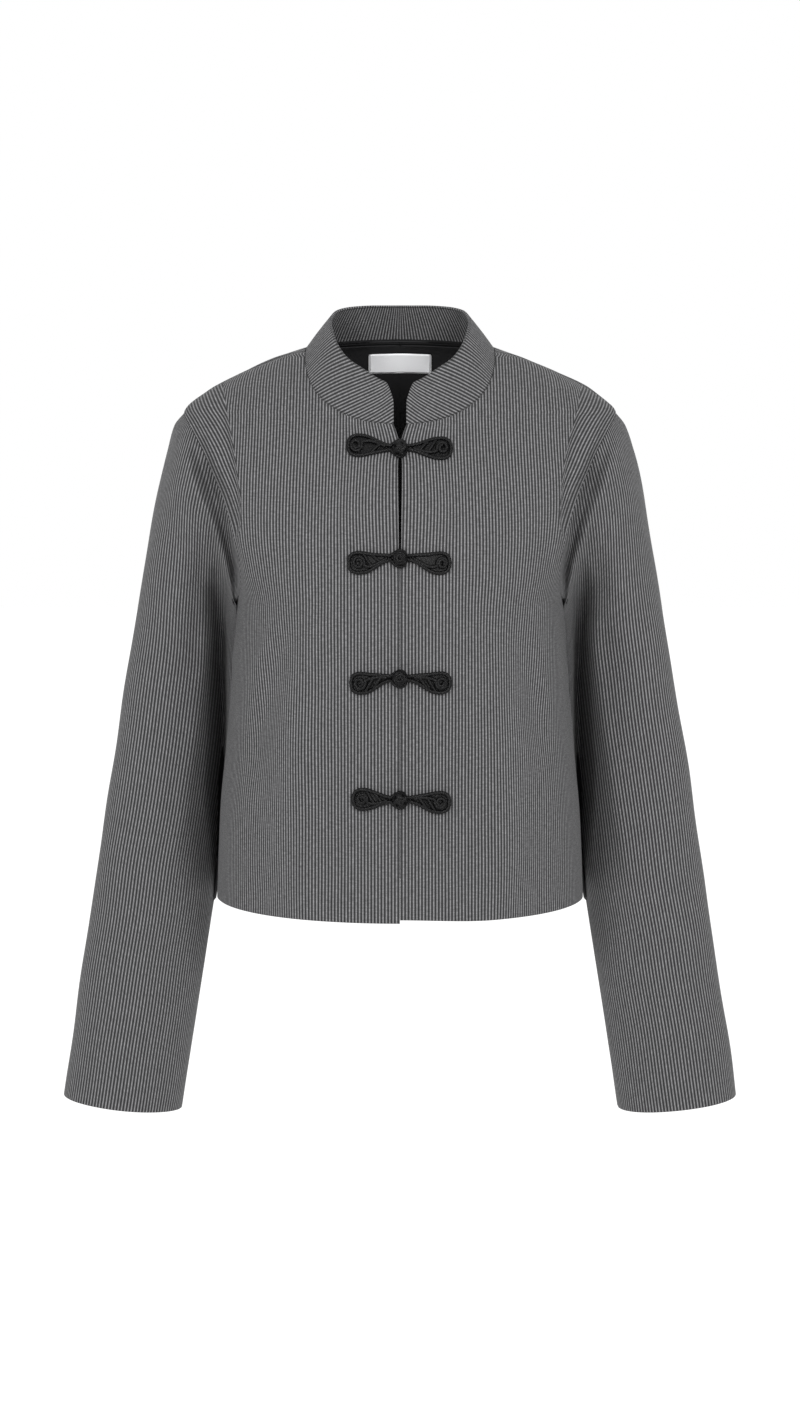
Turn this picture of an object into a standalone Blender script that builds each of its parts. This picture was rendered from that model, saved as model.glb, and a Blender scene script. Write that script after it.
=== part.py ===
"""Cropped jacket with a stand collar and four knotted frog fastenings.

The jacket is filled out as if worn, with no wearer. +X is to the left hand side of the wearer,
-Y is the front and +Z is up. The origin lies midway between the two points where the shoulder
seams meet the collar, which is where the shoulders carry the jacket.
"""
from math import cos, pi, radians, sin

import bpy
import numpy as np

# Cloth, in metres
CLOTH = 0.0020
COLLAR_CLOTH = 0.0024
LINING_CLOTH = 0.0010
LABEL_CLOTH = 0.0008
SEAM_GAP = 0.0003
LAYER_GAP = 0.0009

# Body: each row is a level section, from the shoulder line down to the hem.
# Columns: level, half_width, front_depth, back_depth, middle_y
BODY_SECTIONS = np.array((
    (0.0000, 0.0848, 0.0110, 0.0200, 0.0100),
    (-0.0027, 0.1003, 0.0170, 0.0330, 0.0100),
    (-0.0107, 0.1222, 0.0290, 0.0520, 0.0100),
    (-0.0196, 0.1430, 0.0410, 0.0640, 0.0100),
    (-0.0356, 0.1728, 0.0600, 0.0770, 0.0100),
    (-0.0552, 0.1932, 0.0750, 0.0870, 0.0100),
    (-0.0780, 0.1950, 0.0890, 0.0950, 0.0090),
    (-0.1000, 0.1945, 0.0995, 0.1010, 0.0075),
    (-0.1300, 0.1870, 0.1100, 0.1070, 0.0055),
    (-0.1600, 0.1745, 0.1175, 0.1100, 0.0035),
    (-0.1900, 0.1585, 0.1215, 0.1110, 0.0015),
    (-0.2220, 0.1460, 0.1230, 0.1100, 0.0000),
    (-0.2700, 0.1495, 0.1240, 0.1070, -0.0005),
    (-0.3500, 0.1560, 0.1240, 0.1040, -0.0010),
    (-0.4200, 0.1625, 0.1240, 0.1070, -0.0015),
    (-0.4950, 0.1655, 0.1250, 0.1130, -0.0020),
))
SQUARENESS = 0.15
UNDERARM_LEVEL = -0.2220
SHOULDER_TIP_LEVEL = -0.0552
HEM_SIDE_LEVEL = -0.4900
HEM_FRONT_LEVEL = -0.4945
HEM_BACK_LEVEL = -0.4925
LEFT_HEM_LIFT = 0.0030
HEM_LIFT_REACH = 30.0

# Armhole: how far it reaches round to the front and to the back, in degrees of a body section
ARMHOLE_FRONT_REACH = 34.0
ARMHOLE_BACK_REACH = 32.0

# Neck seam
NECK_HALF_WIDTH = 0.0848
FRONT_NECK_LEVEL = -0.0625
BACK_NECK_LEVEL = -0.0120
NECK_SQUARENESS = 2.3
NECK_START = 5.0
BACK_NECK_RISE = 0.0200
BACK_RISE_ENDS_LEVEL = -0.1400
MARGIN_FALL = 0.30

# Front edges: half of the gap between them, from the neck seam down.
# Columns: level, half_gap
FRONT_EDGE = np.array((
    (-0.0625, 0.0055),
    (-0.0710, 0.0024),
    (-0.0790, 0.0005),
    (-0.0900, 0.0005),
    (-0.1050, 0.0018),
    (-0.1300, 0.0013),
    (-0.1700, 0.0006),
    (-0.2400, 0.0003),
    (-0.5000, 0.0003),
))

# Collar: top edge, from the front round to the back, in degrees from the centre front.
# Columns: angle, half_width, y, z
COLLAR_TOP = np.array((
    (0.0, 0.0000, -0.0500, -0.0290),
    (16.0, 0.0150, -0.0490, -0.0245),
    (34.0, 0.0310, -0.0440, -0.0150),
    (54.0, 0.0480, -0.0310, -0.0030),
    (74.0, 0.0590, -0.0130, 0.0150),
    (90.0, 0.0622, 0.0030, 0.0275),
    (112.0, 0.0580, 0.0220, 0.0360),
    (138.0, 0.0425, 0.0370, 0.0400),
    (160.0, 0.0215, 0.0440, 0.0410),
    (180.0, 0.0000, 0.0460, 0.0410),
))
COLLAR_FRONT_HALF_GAP = 0.0055
COLLAR_CORNER_LENGTH = 0.0200
COLLAR_CORNER_DROP = 0.50

# Sleeve: each row is a section, from the seam down to the cuff.
# Columns: outer_x, outer_y, outer_z, inner_x, inner_y, inner_z, half_front, half_back, hollow
SLEEVE_SECTIONS = np.array((
    (0.2015, 0.0080, -0.0660, 0.1500, 0.0060, -0.2262, 0.0680, 0.0700, 0.0080),
    (0.2100, 0.0090, -0.0930, 0.1488, 0.0200, -0.2360, 0.0650, 0.0660, 0.0050),
    (0.2165, 0.0100, -0.1205, 0.1468, 0.0320, -0.2480, 0.0620, 0.0600, 0.0025),
    (0.2252, 0.0120, -0.1657, 0.1460, 0.0430, -0.2680, 0.0580, 0.0540, 0.0),
    (0.2368, 0.0150, -0.2336, 0.1480, 0.0500, -0.3000, 0.0530, 0.0500, 0.0),
    (0.2526, 0.0190, -0.3248, 0.1520, 0.0520, -0.3600, 0.0490, 0.0480, 0.0),
    (0.2679, 0.0210, -0.4165, 0.1600, 0.0500, -0.4300, 0.0470, 0.0460, 0.0),
    (0.2816, 0.0190, -0.5088, 0.1728, 0.0400, -0.5165, 0.0450, 0.0450, 0.0),
    (0.2963, 0.0150, -0.6017, 0.1871, 0.0270, -0.6080, 0.0440, 0.0440, 0.0),
    (0.3072, 0.0110, -0.6760, 0.1996, 0.0180, -0.6895, 0.0430, 0.0430, 0.0),
))
SEAM_TURN_LIMIT = 0.70
SEAM_FLIP_LIMIT = -0.95
ARMHOLE_GAP = 0.0004

# Lining of the back, and the label on it
LINING_NECK_MARGIN = 0.0030
LINING_SIDE_MARGIN = 4.0
LINING_HEM_LEVEL = -0.4650
LABEL_GAP = 0.0009
LABEL_HALF_WIDTH = 0.0290
LABEL_TOP_LEVEL = -0.0222
LABEL_BOTTOM_LEVEL = -0.0395

# Frog fastenings: the level of each knot, and how far and how low the two pads reach.
# Columns: level, right_reach, left_reach, right_drop, left_drop
FROGS = (
    (-0.0835, 0.0466, 0.0459, 0.0020, -0.0005),
    (-0.1764, 0.0457, 0.0442, -0.0042, -0.0045),
    (-0.2797, 0.0436, 0.0445, -0.0045, -0.0042),
    (-0.3853, 0.0419, 0.0442, 0.0, -0.0027),
)
FROG_SAG_STARTS = 0.0090
FROG_SAG_ENDS = 0.0300

# Sections of a frog pad, from its round end to the centre front, and of the knot.
# Columns: from_centre, half_height, half_thickness
FROG_PAD = (
    (0.0470, 0.0030, 0.0012),
    (0.0455, 0.0062, 0.0019),
    (0.0425, 0.0086, 0.0023),
    (0.0375, 0.0100, 0.0025),
    (0.0315, 0.0096, 0.0025),
    (0.0255, 0.0082, 0.0024),
    (0.0195, 0.0062, 0.0024),
    (0.0145, 0.0046, 0.0026),
    (0.0110, 0.0038, 0.0028),
    (0.0085, 0.0034, 0.0029),
)
FROG_KNOT = (
    (0.0066, 0.0036, 0.0031),
    (0.0056, 0.0050, 0.0043),
    (0.0034, 0.0063, 0.0056),
    (0.0000, 0.0069, 0.0062),
    (-0.0034, 0.0063, 0.0056),
    (-0.0056, 0.0046, 0.0040),
    (-0.0066, 0.0024, 0.0022),
)

# Fineness of the walls
PANEL_COLUMNS = 9
ROWS_BELOW_ARM = 7
ROWS_BESIDE_ARM = 14
FRONT_NECK_ROW = 6
NECK_CROWDING = 1.25
BACK_NECK_ROW = 8
ROW_CROWDING = 1.5
SLEEVE_RINGS = 11
COLLAR_RISE_STEPS = 3
FROG_SIDES = 8
LABEL_ROWS = 2
LABEL_COLUMNS = 4
SHARP_ANGLE = 40.0

# Steps used to measure the direction of a surface: degrees, metres, and parts of a sleeve's length
TURN_STEP = 0.5
SEAM_STEP = 1.0
LEVEL_STEP = 0.0005
STATION_STEP = 0.02
WIDE_TURN_STEP = 2.0

RIGHT = -1
LEFT = 1


def smooth_column(table, column, at):
    """Value of one table column at a place along the first column, on a curve that never overshoots."""
    order = np.argsort(table[:, 0])
    x = table[order, 0]
    y = table[order, column]
    at = float(min(max(at, x[0]), x[-1]))
    step = np.diff(x)
    slope = np.diff(y) / step
    tangent = np.zeros(len(x))
    tangent[0] = slope[0]
    tangent[-1] = slope[-1]
    for i in range(1, len(x) - 1):
        if slope[i - 1] * slope[i] > 0.0:
            tangent[i] = 2.0 * slope[i - 1] * slope[i] / (slope[i - 1] + slope[i])
    k = int(min(max(np.searchsorted(x, at) - 1, 0), len(step) - 1))
    u = (at - x[k]) / step[k]
    first = (2 * u ** 3 - 3 * u ** 2 + 1) * y[k] + (u ** 3 - 2 * u ** 2 + u) * step[k] * tangent[k]
    second = (3 * u ** 2 - 2 * u ** 3) * y[k + 1] + (u ** 3 - u ** 2) * step[k] * tangent[k + 1]
    return first + second


def ease(u):
    """Soft step from 0 to 1."""
    u = min(max(u, 0.0), 1.0)
    return u * u * (3.0 - 2.0 * u)


def unit(vector):
    return vector / np.linalg.norm(vector)


def body_point(angle, level):
    """Point of the body's outer surface: angle in degrees, 0 centre front, 90 side, 180 centre back."""
    turn = radians(angle)
    half_width, front_depth, back_depth, middle_y = (
        smooth_column(BODY_SECTIONS, column, level) for column in range(1, 5)
    )
    depth = front_depth if cos(turn) > 0.0 else back_depth
    reach = depth * cos(turn) * (1.0 + SQUARENESS * sin(turn) ** 2)
    rise = 0.0
    if cos(turn) < 0.0:
        fade = ease((level - BACK_RISE_ENDS_LEVEL) / (BACK_NECK_LEVEL - BACK_RISE_ENDS_LEVEL))
        rise = BACK_NECK_RISE * cos(turn) ** 2 * fade
    return np.array((half_width * sin(turn), middle_y - reach, level + rise))


def body_normal(angle, level):
    """Outward direction of the body's surface."""
    level = min(level, -2.0 * LEVEL_STEP)
    around = body_point(angle + TURN_STEP, level) - body_point(angle - TURN_STEP, level)
    upward = body_point(angle, level + LEVEL_STEP) - body_point(angle, level - LEVEL_STEP)
    return unit(np.cross(around, upward))


def armhole_place(around):
    """Body angle and level of the armhole seam: 0 shoulder, 90 front, 180 underarm, 270 back."""
    turn = radians(around)
    middle = 0.5 * (SHOULDER_TIP_LEVEL + UNDERARM_LEVEL)
    half_height = 0.5 * (SHOULDER_TIP_LEVEL - UNDERARM_LEVEL)
    reach = ARMHOLE_FRONT_REACH if sin(turn) > 0.0 else ARMHOLE_BACK_REACH
    return 90.0 - reach * sin(turn), middle + half_height * cos(turn)


def neck_turns():
    """Places of the panels' corners along half of the neck seam, from centre front to centre back."""
    share = np.linspace(0.0, 1.0, ROWS_BESIDE_ARM - FRONT_NECK_ROW + 1)
    front = NECK_START + (90.0 - NECK_START) * share ** NECK_CROWDING
    back = np.linspace(90.0, 180.0, ROWS_BESIDE_ARM - BACK_NECK_ROW + 1)
    return [float(turn) for turn in (*front, *back[1:])]


def neck_place(around, margin=0.0):
    """Body angle and level of the neck seam, or of a line that far outside it.

    0 is the centre front, 90 the side and 180 the centre back.
    """
    turn = radians(around)
    power = 2.0 / NECK_SQUARENESS
    drop = FRONT_NECK_LEVEL if cos(turn) > 0.0 else BACK_NECK_LEVEL
    side_level = -MARGIN_FALL * margin
    level = side_level + (drop - margin - side_level) * abs(cos(turn)) ** power
    half_width = smooth_column(BODY_SECTIONS, 1, level)
    sine = min((NECK_HALF_WIDTH + margin) * abs(sin(turn)) ** power / half_width, 1.0)
    angle = np.degrees(np.arcsin(sine))
    return (angle if around <= 90.0 else 180.0 - angle), level


def sleeve_section(station, around):
    """Point of the sleeve's outer surface for a wearer's left sleeve; station 0 to 1 from seam to cuff."""
    index = np.linspace(0.0, 1.0, len(SLEEVE_SECTIONS))
    table = np.column_stack((index, SLEEVE_SECTIONS))
    outer_x, outer_y, outer_z, inner_x, inner_y, inner_z, half_front, half_back, hollow = (
        smooth_column(table, column, station) for column in range(1, 10)
    )
    turn = radians(around)
    depth = half_front if sin(turn) > 0.0 else half_back
    outer = np.array((outer_x, outer_y, outer_z))
    inner = np.array((inner_x, inner_y, inner_z))
    point = 0.5 * (outer + inner) + 0.5 * (outer - inner) * cos(turn)
    return point - np.array((hollow * sin(turn) ** 2, depth * sin(turn), 0.0))


def armhole_mitre(around):
    """Inward direction, and direction from body to sleeve, of the face where the two walls meet."""
    angle, level = armhole_place(around)
    seam = body_point(angle, level)
    before = body_point(*armhole_place(around - SEAM_STEP))
    after = body_point(*armhole_place(around + SEAM_STEP))
    along = unit(after - before)
    body_out = body_normal(angle, level)
    leaving = sleeve_section(0.0, around) - seam
    leaving = unit(leaving - along * np.dot(leaving, along))
    sleeve_out = unit(np.cross(along, leaving))
    if np.dot(sleeve_out, body_out) < SEAM_FLIP_LIMIT:
        sleeve_out = -sleeve_out
    spread = max(1.0 + float(np.dot(body_out, sleeve_out)), SEAM_TURN_LIMIT)
    inward = -(body_out + sleeve_out) / spread
    across = np.cross(along, inward)
    if np.dot(across, leaving) < 0.0:
        across = -across
    return inward, unit(across)


def mirrored(point, side):
    return np.array((point[0] * side, point[1], point[2]))


def close_wall(name, outer, inner, quads):
    """Closed wall between two layers of the same points, with a rim along every open edge."""
    shift = len(outer)
    faces = []
    for a, b, c, d in quads:
        faces += [(a, b, c), (a, c, d)]
        faces += [(shift + a, shift + c, shift + b), (shift + a, shift + d, shift + c)]
    uses = {}
    for quad in quads:
        for start, end in zip(quad, quad[1:] + quad[:1]):
            key = (min(start, end), max(start, end))
            uses.setdefault(key, []).append((start, end))
    for edges in uses.values():
        if len(edges) == 1:
            start, end = edges[0]
            faces.append((end, start, shift + start, shift + end))
    mesh = bpy.data.meshes.new(name)
    mesh.from_pydata([tuple(point) for point in (*outer, *inner)], [], faces)
    return mesh


def grid_quads(rows, columns, closed_round=False):
    """Quads of a grid of points; closed_round joins the last column to the first."""
    quads = []
    for i in range(rows - 1):
        for j in range(columns if closed_round else columns - 1):
            k = (j + 1) % columns
            quads.append((i * columns + j, i * columns + k, (i + 1) * columns + k, (i + 1) * columns + j))
    return quads


def face_outward(mesh):
    """Turn the faces out if the closed mesh is inside out."""
    volume = 0.0
    for polygon in mesh.polygons:
        corners = [mesh.vertices[index].co for index in polygon.vertices]
        for second, third in zip(corners[1:-1], corners[2:]):
            volume += corners[0].dot(second.cross(third))
    if volume < 0.0:
        mesh.flip_normals()


def add_piece(name, mesh, material):
    """Put one sub-part in the scene."""
    face_outward(mesh)
    mesh.shade_smooth()
    mesh.set_sharp_from_angle(angle=radians(SHARP_ANGLE))
    mesh.materials.append(material)
    piece = bpy.data.objects.new(name, mesh)
    bpy.context.scene.collection.objects.link(piece)
    return piece


def make_material(name, colour, roughness):
    material = bpy.data.materials.new(name)
    material.use_nodes = True
    shader = material.node_tree.nodes["Principled BSDF"]
    shader.inputs["Base Color"].default_value = (*colour, 1.0)
    shader.inputs["Roughness"].default_value = roughness
    return material


def hem_level(angle, side):
    """Level of the hem: it dips to the front and the back, and the left front starts a little higher."""
    turn = radians(angle)
    dip = HEM_FRONT_LEVEL if cos(turn) > 0.0 else HEM_BACK_LEVEL
    level = HEM_SIDE_LEVEL + (dip - HEM_SIDE_LEVEL) * cos(turn) ** 2
    if side == LEFT and cos(turn) > 0.0:
        level += LEFT_HEM_LIFT * (1.0 - ease(angle / HEM_LIFT_REACH))
    return level


def panel_places(inner_edge, outer_edge, bottom, columns):
    """Body angles and levels of a half panel, between its inner and outer edge, from hem to shoulder."""
    rows = []
    for i in range(ROWS_BELOW_ARM + ROWS_BESIDE_ARM + 1):
        below = min(i / ROWS_BELOW_ARM, 1.0)
        beside = max(i - ROWS_BELOW_ARM, 0)
        start_angle, start_level = inner_edge(beside)
        end_angle, end_level = outer_edge(beside)
        row = []
        for j in range(columns + 1):
            w = j / columns
            angle = start_angle + (end_angle - start_angle) * w
            level = start_level + (end_level - start_level) * w
            if below < 1.0:
                low = bottom(angle)
                level = low + (UNDERARM_LEVEL - low) * below
            row.append((angle, level))
        rows.append(row)
    return rows


def layer(rows, depth):
    """Points of a layer at a depth under the body's outer surface."""
    return [[body_point(*place) - depth * body_normal(*place) for place in row] for row in rows]


def front_edge_angle(level):
    """Body angle of the front edge, which leaves half of the gap between the two fronts."""
    half_gap = smooth_column(FRONT_EDGE, 1, level)
    return float(np.degrees(np.arcsin(half_gap / smooth_column(BODY_SECTIONS, 1, level))))


def seam_edge_angle(angle, level, side_of_seam):
    """Keep a body angle half a seam gap away from the side and shoulder seams."""
    ahead = body_point(90.0 - SEAM_STEP, level)
    behind = body_point(90.0 + SEAM_STEP, level)
    metres_per_degree = np.linalg.norm(behind - ahead) / (2.0 * SEAM_STEP)
    edge = 90.0 + side_of_seam * 0.5 * SEAM_GAP / metres_per_degree
    return min(angle, edge) if side_of_seam < 0.0 else max(angle, edge)


def front_panel(side, material):
    """Half front, from the centre front edge to the side seam, armhole and shoulder seam."""
    def inner_edge(beside):
        if beside <= FRONT_NECK_ROW:
            top = neck_place(NECK_START)[1]
            level = UNDERARM_LEVEL + (top - UNDERARM_LEVEL) * beside / FRONT_NECK_ROW
            return front_edge_angle(level), level
        angle, level = neck_place(neck_turns()[beside - FRONT_NECK_ROW])
        return seam_edge_angle(angle, level, -1.0), level

    def outer_edge(beside):
        angle, level = armhole_place(180.0 - 180.0 * beside / ROWS_BESIDE_ARM)
        return seam_edge_angle(angle, level, -1.0), level

    rows = panel_places(inner_edge, outer_edge, lambda angle: hem_level(angle, side), PANEL_COLUMNS)
    for row in rows[:ROWS_BELOW_ARM]:
        row[0] = (front_edge_angle(row[0][1]), row[0][1])
    outer = layer(rows, 0.0)
    inner = layer(rows, CLOTH)
    for beside in range(ROWS_BESIDE_ARM + 1):
        inward, _ = armhole_mitre(180.0 - 180.0 * beside / ROWS_BESIDE_ARM)
        row = ROWS_BELOW_ARM + beside
        inner[row][-1] = outer[row][-1] + CLOTH * inward
    outer = [mirrored(point, side) for row in outer for point in row]
    inner = [mirrored(point, side) for row in inner for point in row]
    name = "front_left" if side == LEFT else "front_right"
    add_piece(name, close_wall(name, outer, inner, grid_quads(len(rows), PANEL_COLUMNS + 1)), material)


def back_places(bottom):
    """Half of the back, from the centre back to the side seam, armhole and shoulder seam."""
    def inner_edge(beside):
        if beside <= BACK_NECK_ROW:
            share = 1.0 - (1.0 - beside / BACK_NECK_ROW) ** ROW_CROWDING
            return 180.0, UNDERARM_LEVEL + (BACK_NECK_LEVEL - UNDERARM_LEVEL) * share
        angle, level = neck_place(neck_turns()[BACK_NECK_ROW - beside - 1])
        return seam_edge_angle(angle, level, 1.0), level

    def outer_edge(beside):
        angle, level = armhole_place(180.0 + 180.0 * beside / ROWS_BESIDE_ARM)
        return seam_edge_angle(angle, level, 1.0), level

    return panel_places(inner_edge, outer_edge, bottom, PANEL_COLUMNS)


def inset_places(rows):
    """The places of the back with its neck, side and armhole edges drawn in, for the lining."""
    inset = [list(row) for row in rows]
    for i, row in enumerate(inset):
        beside = i - ROWS_BELOW_ARM
        if beside >= BACK_NECK_ROW:
            row[0] = neck_place(neck_turns()[BACK_NECK_ROW - beside - 1], LINING_NECK_MARGIN)
        angle, level = row[-1]
        row[-1] = (angle + LINING_SIDE_MARGIN, level)
    inset[-1] = [(max(angle, 90.0 + LINING_SIDE_MARGIN), level) for angle, level in inset[-1]]
    return inset


def join_halves(outer, inner):
    """Mirror a half back and join the halves along the centre back, below the neck."""
    joined_rows = ROWS_BELOW_ARM + BACK_NECK_ROW
    index = {}
    outer_points = []
    inner_points = []
    for side in (LEFT, RIGHT):
        for i, row in enumerate(outer):
            for j in range(PANEL_COLUMNS + 1):
                if side == RIGHT and j == 0 and i <= joined_rows:
                    index[side, i, j] = index[LEFT, i, j]
                    continue
                index[side, i, j] = len(outer_points)
                outer_points.append(mirrored(row[j], side))
                inner_points.append(mirrored(inner[i][j], side))
    quads = []
    for side in (LEFT, RIGHT):
        for i in range(len(outer) - 1):
            for j in range(PANEL_COLUMNS):
                corners = ((i, j), (i, j + 1), (i + 1, j + 1), (i + 1, j))
                quad = tuple(index[side, row, column] for row, column in corners)
                quads.append(quad if side == LEFT else (quad[0], quad[3], quad[2], quad[1]))
    return outer_points, inner_points, quads


def back_panel(material):
    """Whole back, in one piece between the side seams, armholes and shoulder seams."""
    rows = back_places(lambda angle: hem_level(angle, LEFT))
    outer = layer(rows, 0.0)
    inner = layer(rows, CLOTH)
    for beside in range(ROWS_BESIDE_ARM + 1):
        inward, _ = armhole_mitre(180.0 + 180.0 * beside / ROWS_BESIDE_ARM)
        row = ROWS_BELOW_ARM + beside
        inner[row][-1] = outer[row][-1] + CLOTH * inward
    add_piece("back", close_wall("back", *join_halves(outer, inner)), material)


def back_lining(material):
    """Lining of the back, which shows through the neck; it hangs just inside the back."""
    rows = inset_places(back_places(lambda angle: LINING_HEM_LEVEL))
    near = CLOTH + LAYER_GAP
    outer = layer(rows, near)
    inner = layer(rows, near + LINING_CLOTH)
    walls = close_wall("back_lining", *join_halves(outer, inner))
    add_piece("back_lining", walls, material)


def neck_label(material):
    """Plain woven label on the lining, below the middle of the back neck."""
    near = CLOTH + LAYER_GAP + LINING_CLOTH + LABEL_GAP
    rows = []
    for i in range(LABEL_ROWS + 1):
        level = LABEL_BOTTOM_LEVEL + (LABEL_TOP_LEVEL - LABEL_BOTTOM_LEVEL) * i / LABEL_ROWS
        half_turn = np.degrees(np.arcsin(LABEL_HALF_WIDTH / smooth_column(BODY_SECTIONS, 1, level)))
        turns = np.linspace(180.0 - half_turn, 180.0 + half_turn, LABEL_COLUMNS + 1)
        rows.append([(float(turn), level) for turn in turns])
    outer = [point for row in layer(rows, near) for point in row]
    inner = [point for row in layer(rows, near + LABEL_CLOTH) for point in row]
    quads = grid_quads(LABEL_ROWS + 1, LABEL_COLUMNS + 1)
    add_piece("neck_label", close_wall("neck_label", outer, inner, quads), material)


def sleeve(side, material):
    """One sleeve, a tube from the armhole seam to the open cuff."""
    turns = [180.0 * j / ROWS_BESIDE_ARM for j in range(2 * ROWS_BESIDE_ARM)]
    outer = []
    inner = []
    seam = []
    seam_inner = []
    for around in turns:
        inward, across = armhole_mitre(around)
        start = body_point(*armhole_place(around)) + ARMHOLE_GAP * across
        seam.append(start)
        seam_inner.append(start + CLOTH * inward)
    outer.append(seam)
    inner.append(seam_inner)
    for i in range(SLEEVE_RINGS + 1):
        station = i / SLEEVE_RINGS
        ring = []
        ring_inner = []
        for around in turns:
            point = sleeve_section(station, around)
            above = sleeve_section(max(station - STATION_STEP, 0.0), around)
            below = sleeve_section(min(station + STATION_STEP, 1.0), around)
            before = sleeve_section(station, around - WIDE_TURN_STEP)
            after = sleeve_section(station, around + WIDE_TURN_STEP)
            ring.append(point)
            ring_inner.append(point - CLOTH * unit(np.cross(after - before, below - above)))
        outer.append(ring)
        inner.append(ring_inner)
    outer = [mirrored(point, side) for row in outer for point in row]
    inner = [mirrored(point, side) for row in inner for point in row]
    name = "sleeve_left" if side == LEFT else "sleeve_right"
    quads = grid_quads(SLEEVE_RINGS + 2, len(turns), closed_round=True)
    add_piece(name, close_wall(name, outer, inner, quads), material)


def collar_top_point(around):
    """Point of the collar's top edge; 0 centre front, 180 centre back."""
    return np.array([smooth_column(COLLAR_TOP, column, around) for column in (1, 2, 3)])


def collar(material):
    """Stand collar in one band, open at the front, where its top corners are rounded."""
    outer = []
    inner = []
    half = neck_turns()
    stations = [(around, LEFT) for around in half] + [(around, RIGHT) for around in reversed(half[:-1])]
    for around, side in stations:
        place = neck_place(around)
        if around == NECK_START:
            place = (front_edge_angle(place[1]), place[1])
        foot = body_point(*place)
        panel_out = body_normal(*place)
        top = collar_top_point(around)
        if around == NECK_START:
            top[0] = foot[0]
        from_edge = foot[0] - COLLAR_FRONT_HALF_GAP
        share = 1.0
        if around < 90.0 and from_edge < COLLAR_CORNER_LENGTH:
            u = 1.0 - from_edge / COLLAR_CORNER_LENGTH
            share = 1.0 - COLLAR_CORNER_DROP * (1.0 - (1.0 - u ** 2) ** 0.5)
        before = body_point(*neck_place(max(around - WIDE_TURN_STEP, 0.0)))
        after = body_point(*neck_place(min(around + WIDE_TURN_STEP, 180.0)))
        along = unit(after - before)
        rise = unit(top - foot)
        out = unit(np.cross(along, rise))
        start = foot + SEAM_GAP * unit(np.cross(panel_out, along))
        column = [mirrored(start, side)]
        column_inner = [mirrored(start - COLLAR_CLOTH * panel_out, side)]
        for k in range(1, COLLAR_RISE_STEPS + 1):
            point = start + (top - foot) * share * k / COLLAR_RISE_STEPS
            column.append(mirrored(point, side))
            column_inner.append(mirrored(point - COLLAR_CLOTH * out, side))
        outer.append(column)
        inner.append(column_inner)
    outer_points = [point for column in outer for point in column]
    inner_points = [point for column in inner for point in column]
    quads = grid_quads(len(stations), COLLAR_RISE_STEPS + 1)
    add_piece("collar", close_wall("collar", outer_points, inner_points, quads), material)


def tube_through(name, sections):
    """Closed body through rings of points, with a fan at each end."""
    points = [point for ring in sections for point in ring]
    quads = grid_quads(len(sections), FROG_SIDES, closed_round=True)
    last = (len(sections) - 1) * FROG_SIDES
    faces = [tuple(quad) for quad in quads]
    faces.append(tuple(reversed(range(FROG_SIDES))))
    faces.append(tuple(range(last, last + FROG_SIDES)))
    mesh = bpy.data.meshes.new(name)
    mesh.from_pydata([tuple(point) for point in points], [], faces)
    return mesh


def frog_half(number, side, material):
    """One half of a fastening: a flat looped pad on the front and, on the left half, the knot."""
    level, right_reach, left_reach, right_drop, left_drop = FROGS[number]
    reach = left_reach if side == LEFT else right_reach
    drop = left_drop if side == LEFT else right_drop
    stretch = reach / FROG_PAD[0][0]
    sections = [(from_centre * stretch, half_height, half_thickness)
                for from_centre, half_height, half_thickness in FROG_PAD]
    if side == LEFT:
        sections += FROG_KNOT
    rings = []
    for from_centre, half_height, half_thickness in sections:
        sag = drop * ease((from_centre - FROG_SAG_STARTS) / (FROG_SAG_ENDS - FROG_SAG_STARTS))
        place_level = level + sag
        angle = float(np.degrees(np.arcsin(from_centre / smooth_column(BODY_SECTIONS, 1, place_level))))
        surface = body_point(angle, place_level)
        out = body_normal(angle, place_level)
        below = body_point(angle, place_level - LEVEL_STEP)
        upward = unit(body_point(angle, place_level + LEVEL_STEP) - below)
        middle = surface + out * (SEAM_GAP + half_thickness)
        ring = []
        for k in range(FROG_SIDES):
            turn = 2.0 * pi * k / FROG_SIDES
            point = middle + upward * half_height * cos(turn) + out * half_thickness * sin(turn)
            ring.append(mirrored(point, side))
        rings.append(ring)
    name = f"frog_{number + 1}_{'left' if side == LEFT else 'right'}"
    add_piece(name, tube_through(name, rings), material)


def build_jacket():
    for old in list(bpy.data.objects):
        bpy.data.objects.remove(old, do_unlink=True)
    cloth = make_material("striped_cloth", (0.145, 0.145, 0.150), 0.85)
    lining = make_material("lining", (0.012, 0.012, 0.013), 0.55)
    label = make_material("label", (0.76, 0.78, 0.82), 0.70)
    satin = make_material("frog_satin", (0.010, 0.010, 0.011), 0.40)
    for side in (RIGHT, LEFT):
        front_panel(side, cloth)
        sleeve(side, cloth)
    back_panel(cloth)
    collar(cloth)
    back_lining(lining)
    neck_label(label)
    for number in range(len(FROGS)):
        for side in (RIGHT, LEFT):
            frog_half(number, side, satin)


build_jacket()
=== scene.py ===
"""Cropped jacket with a stand collar and four knotted frog fastenings, filled out as if worn.

Lengths are in metres. +X is to the left hand side of the wearer, -Y is the front and +Z is up.
"""

from math import pi, radians

import bmesh
import bpy
import numpy as np
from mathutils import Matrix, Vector
from mathutils.kdtree import KDTree


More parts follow.
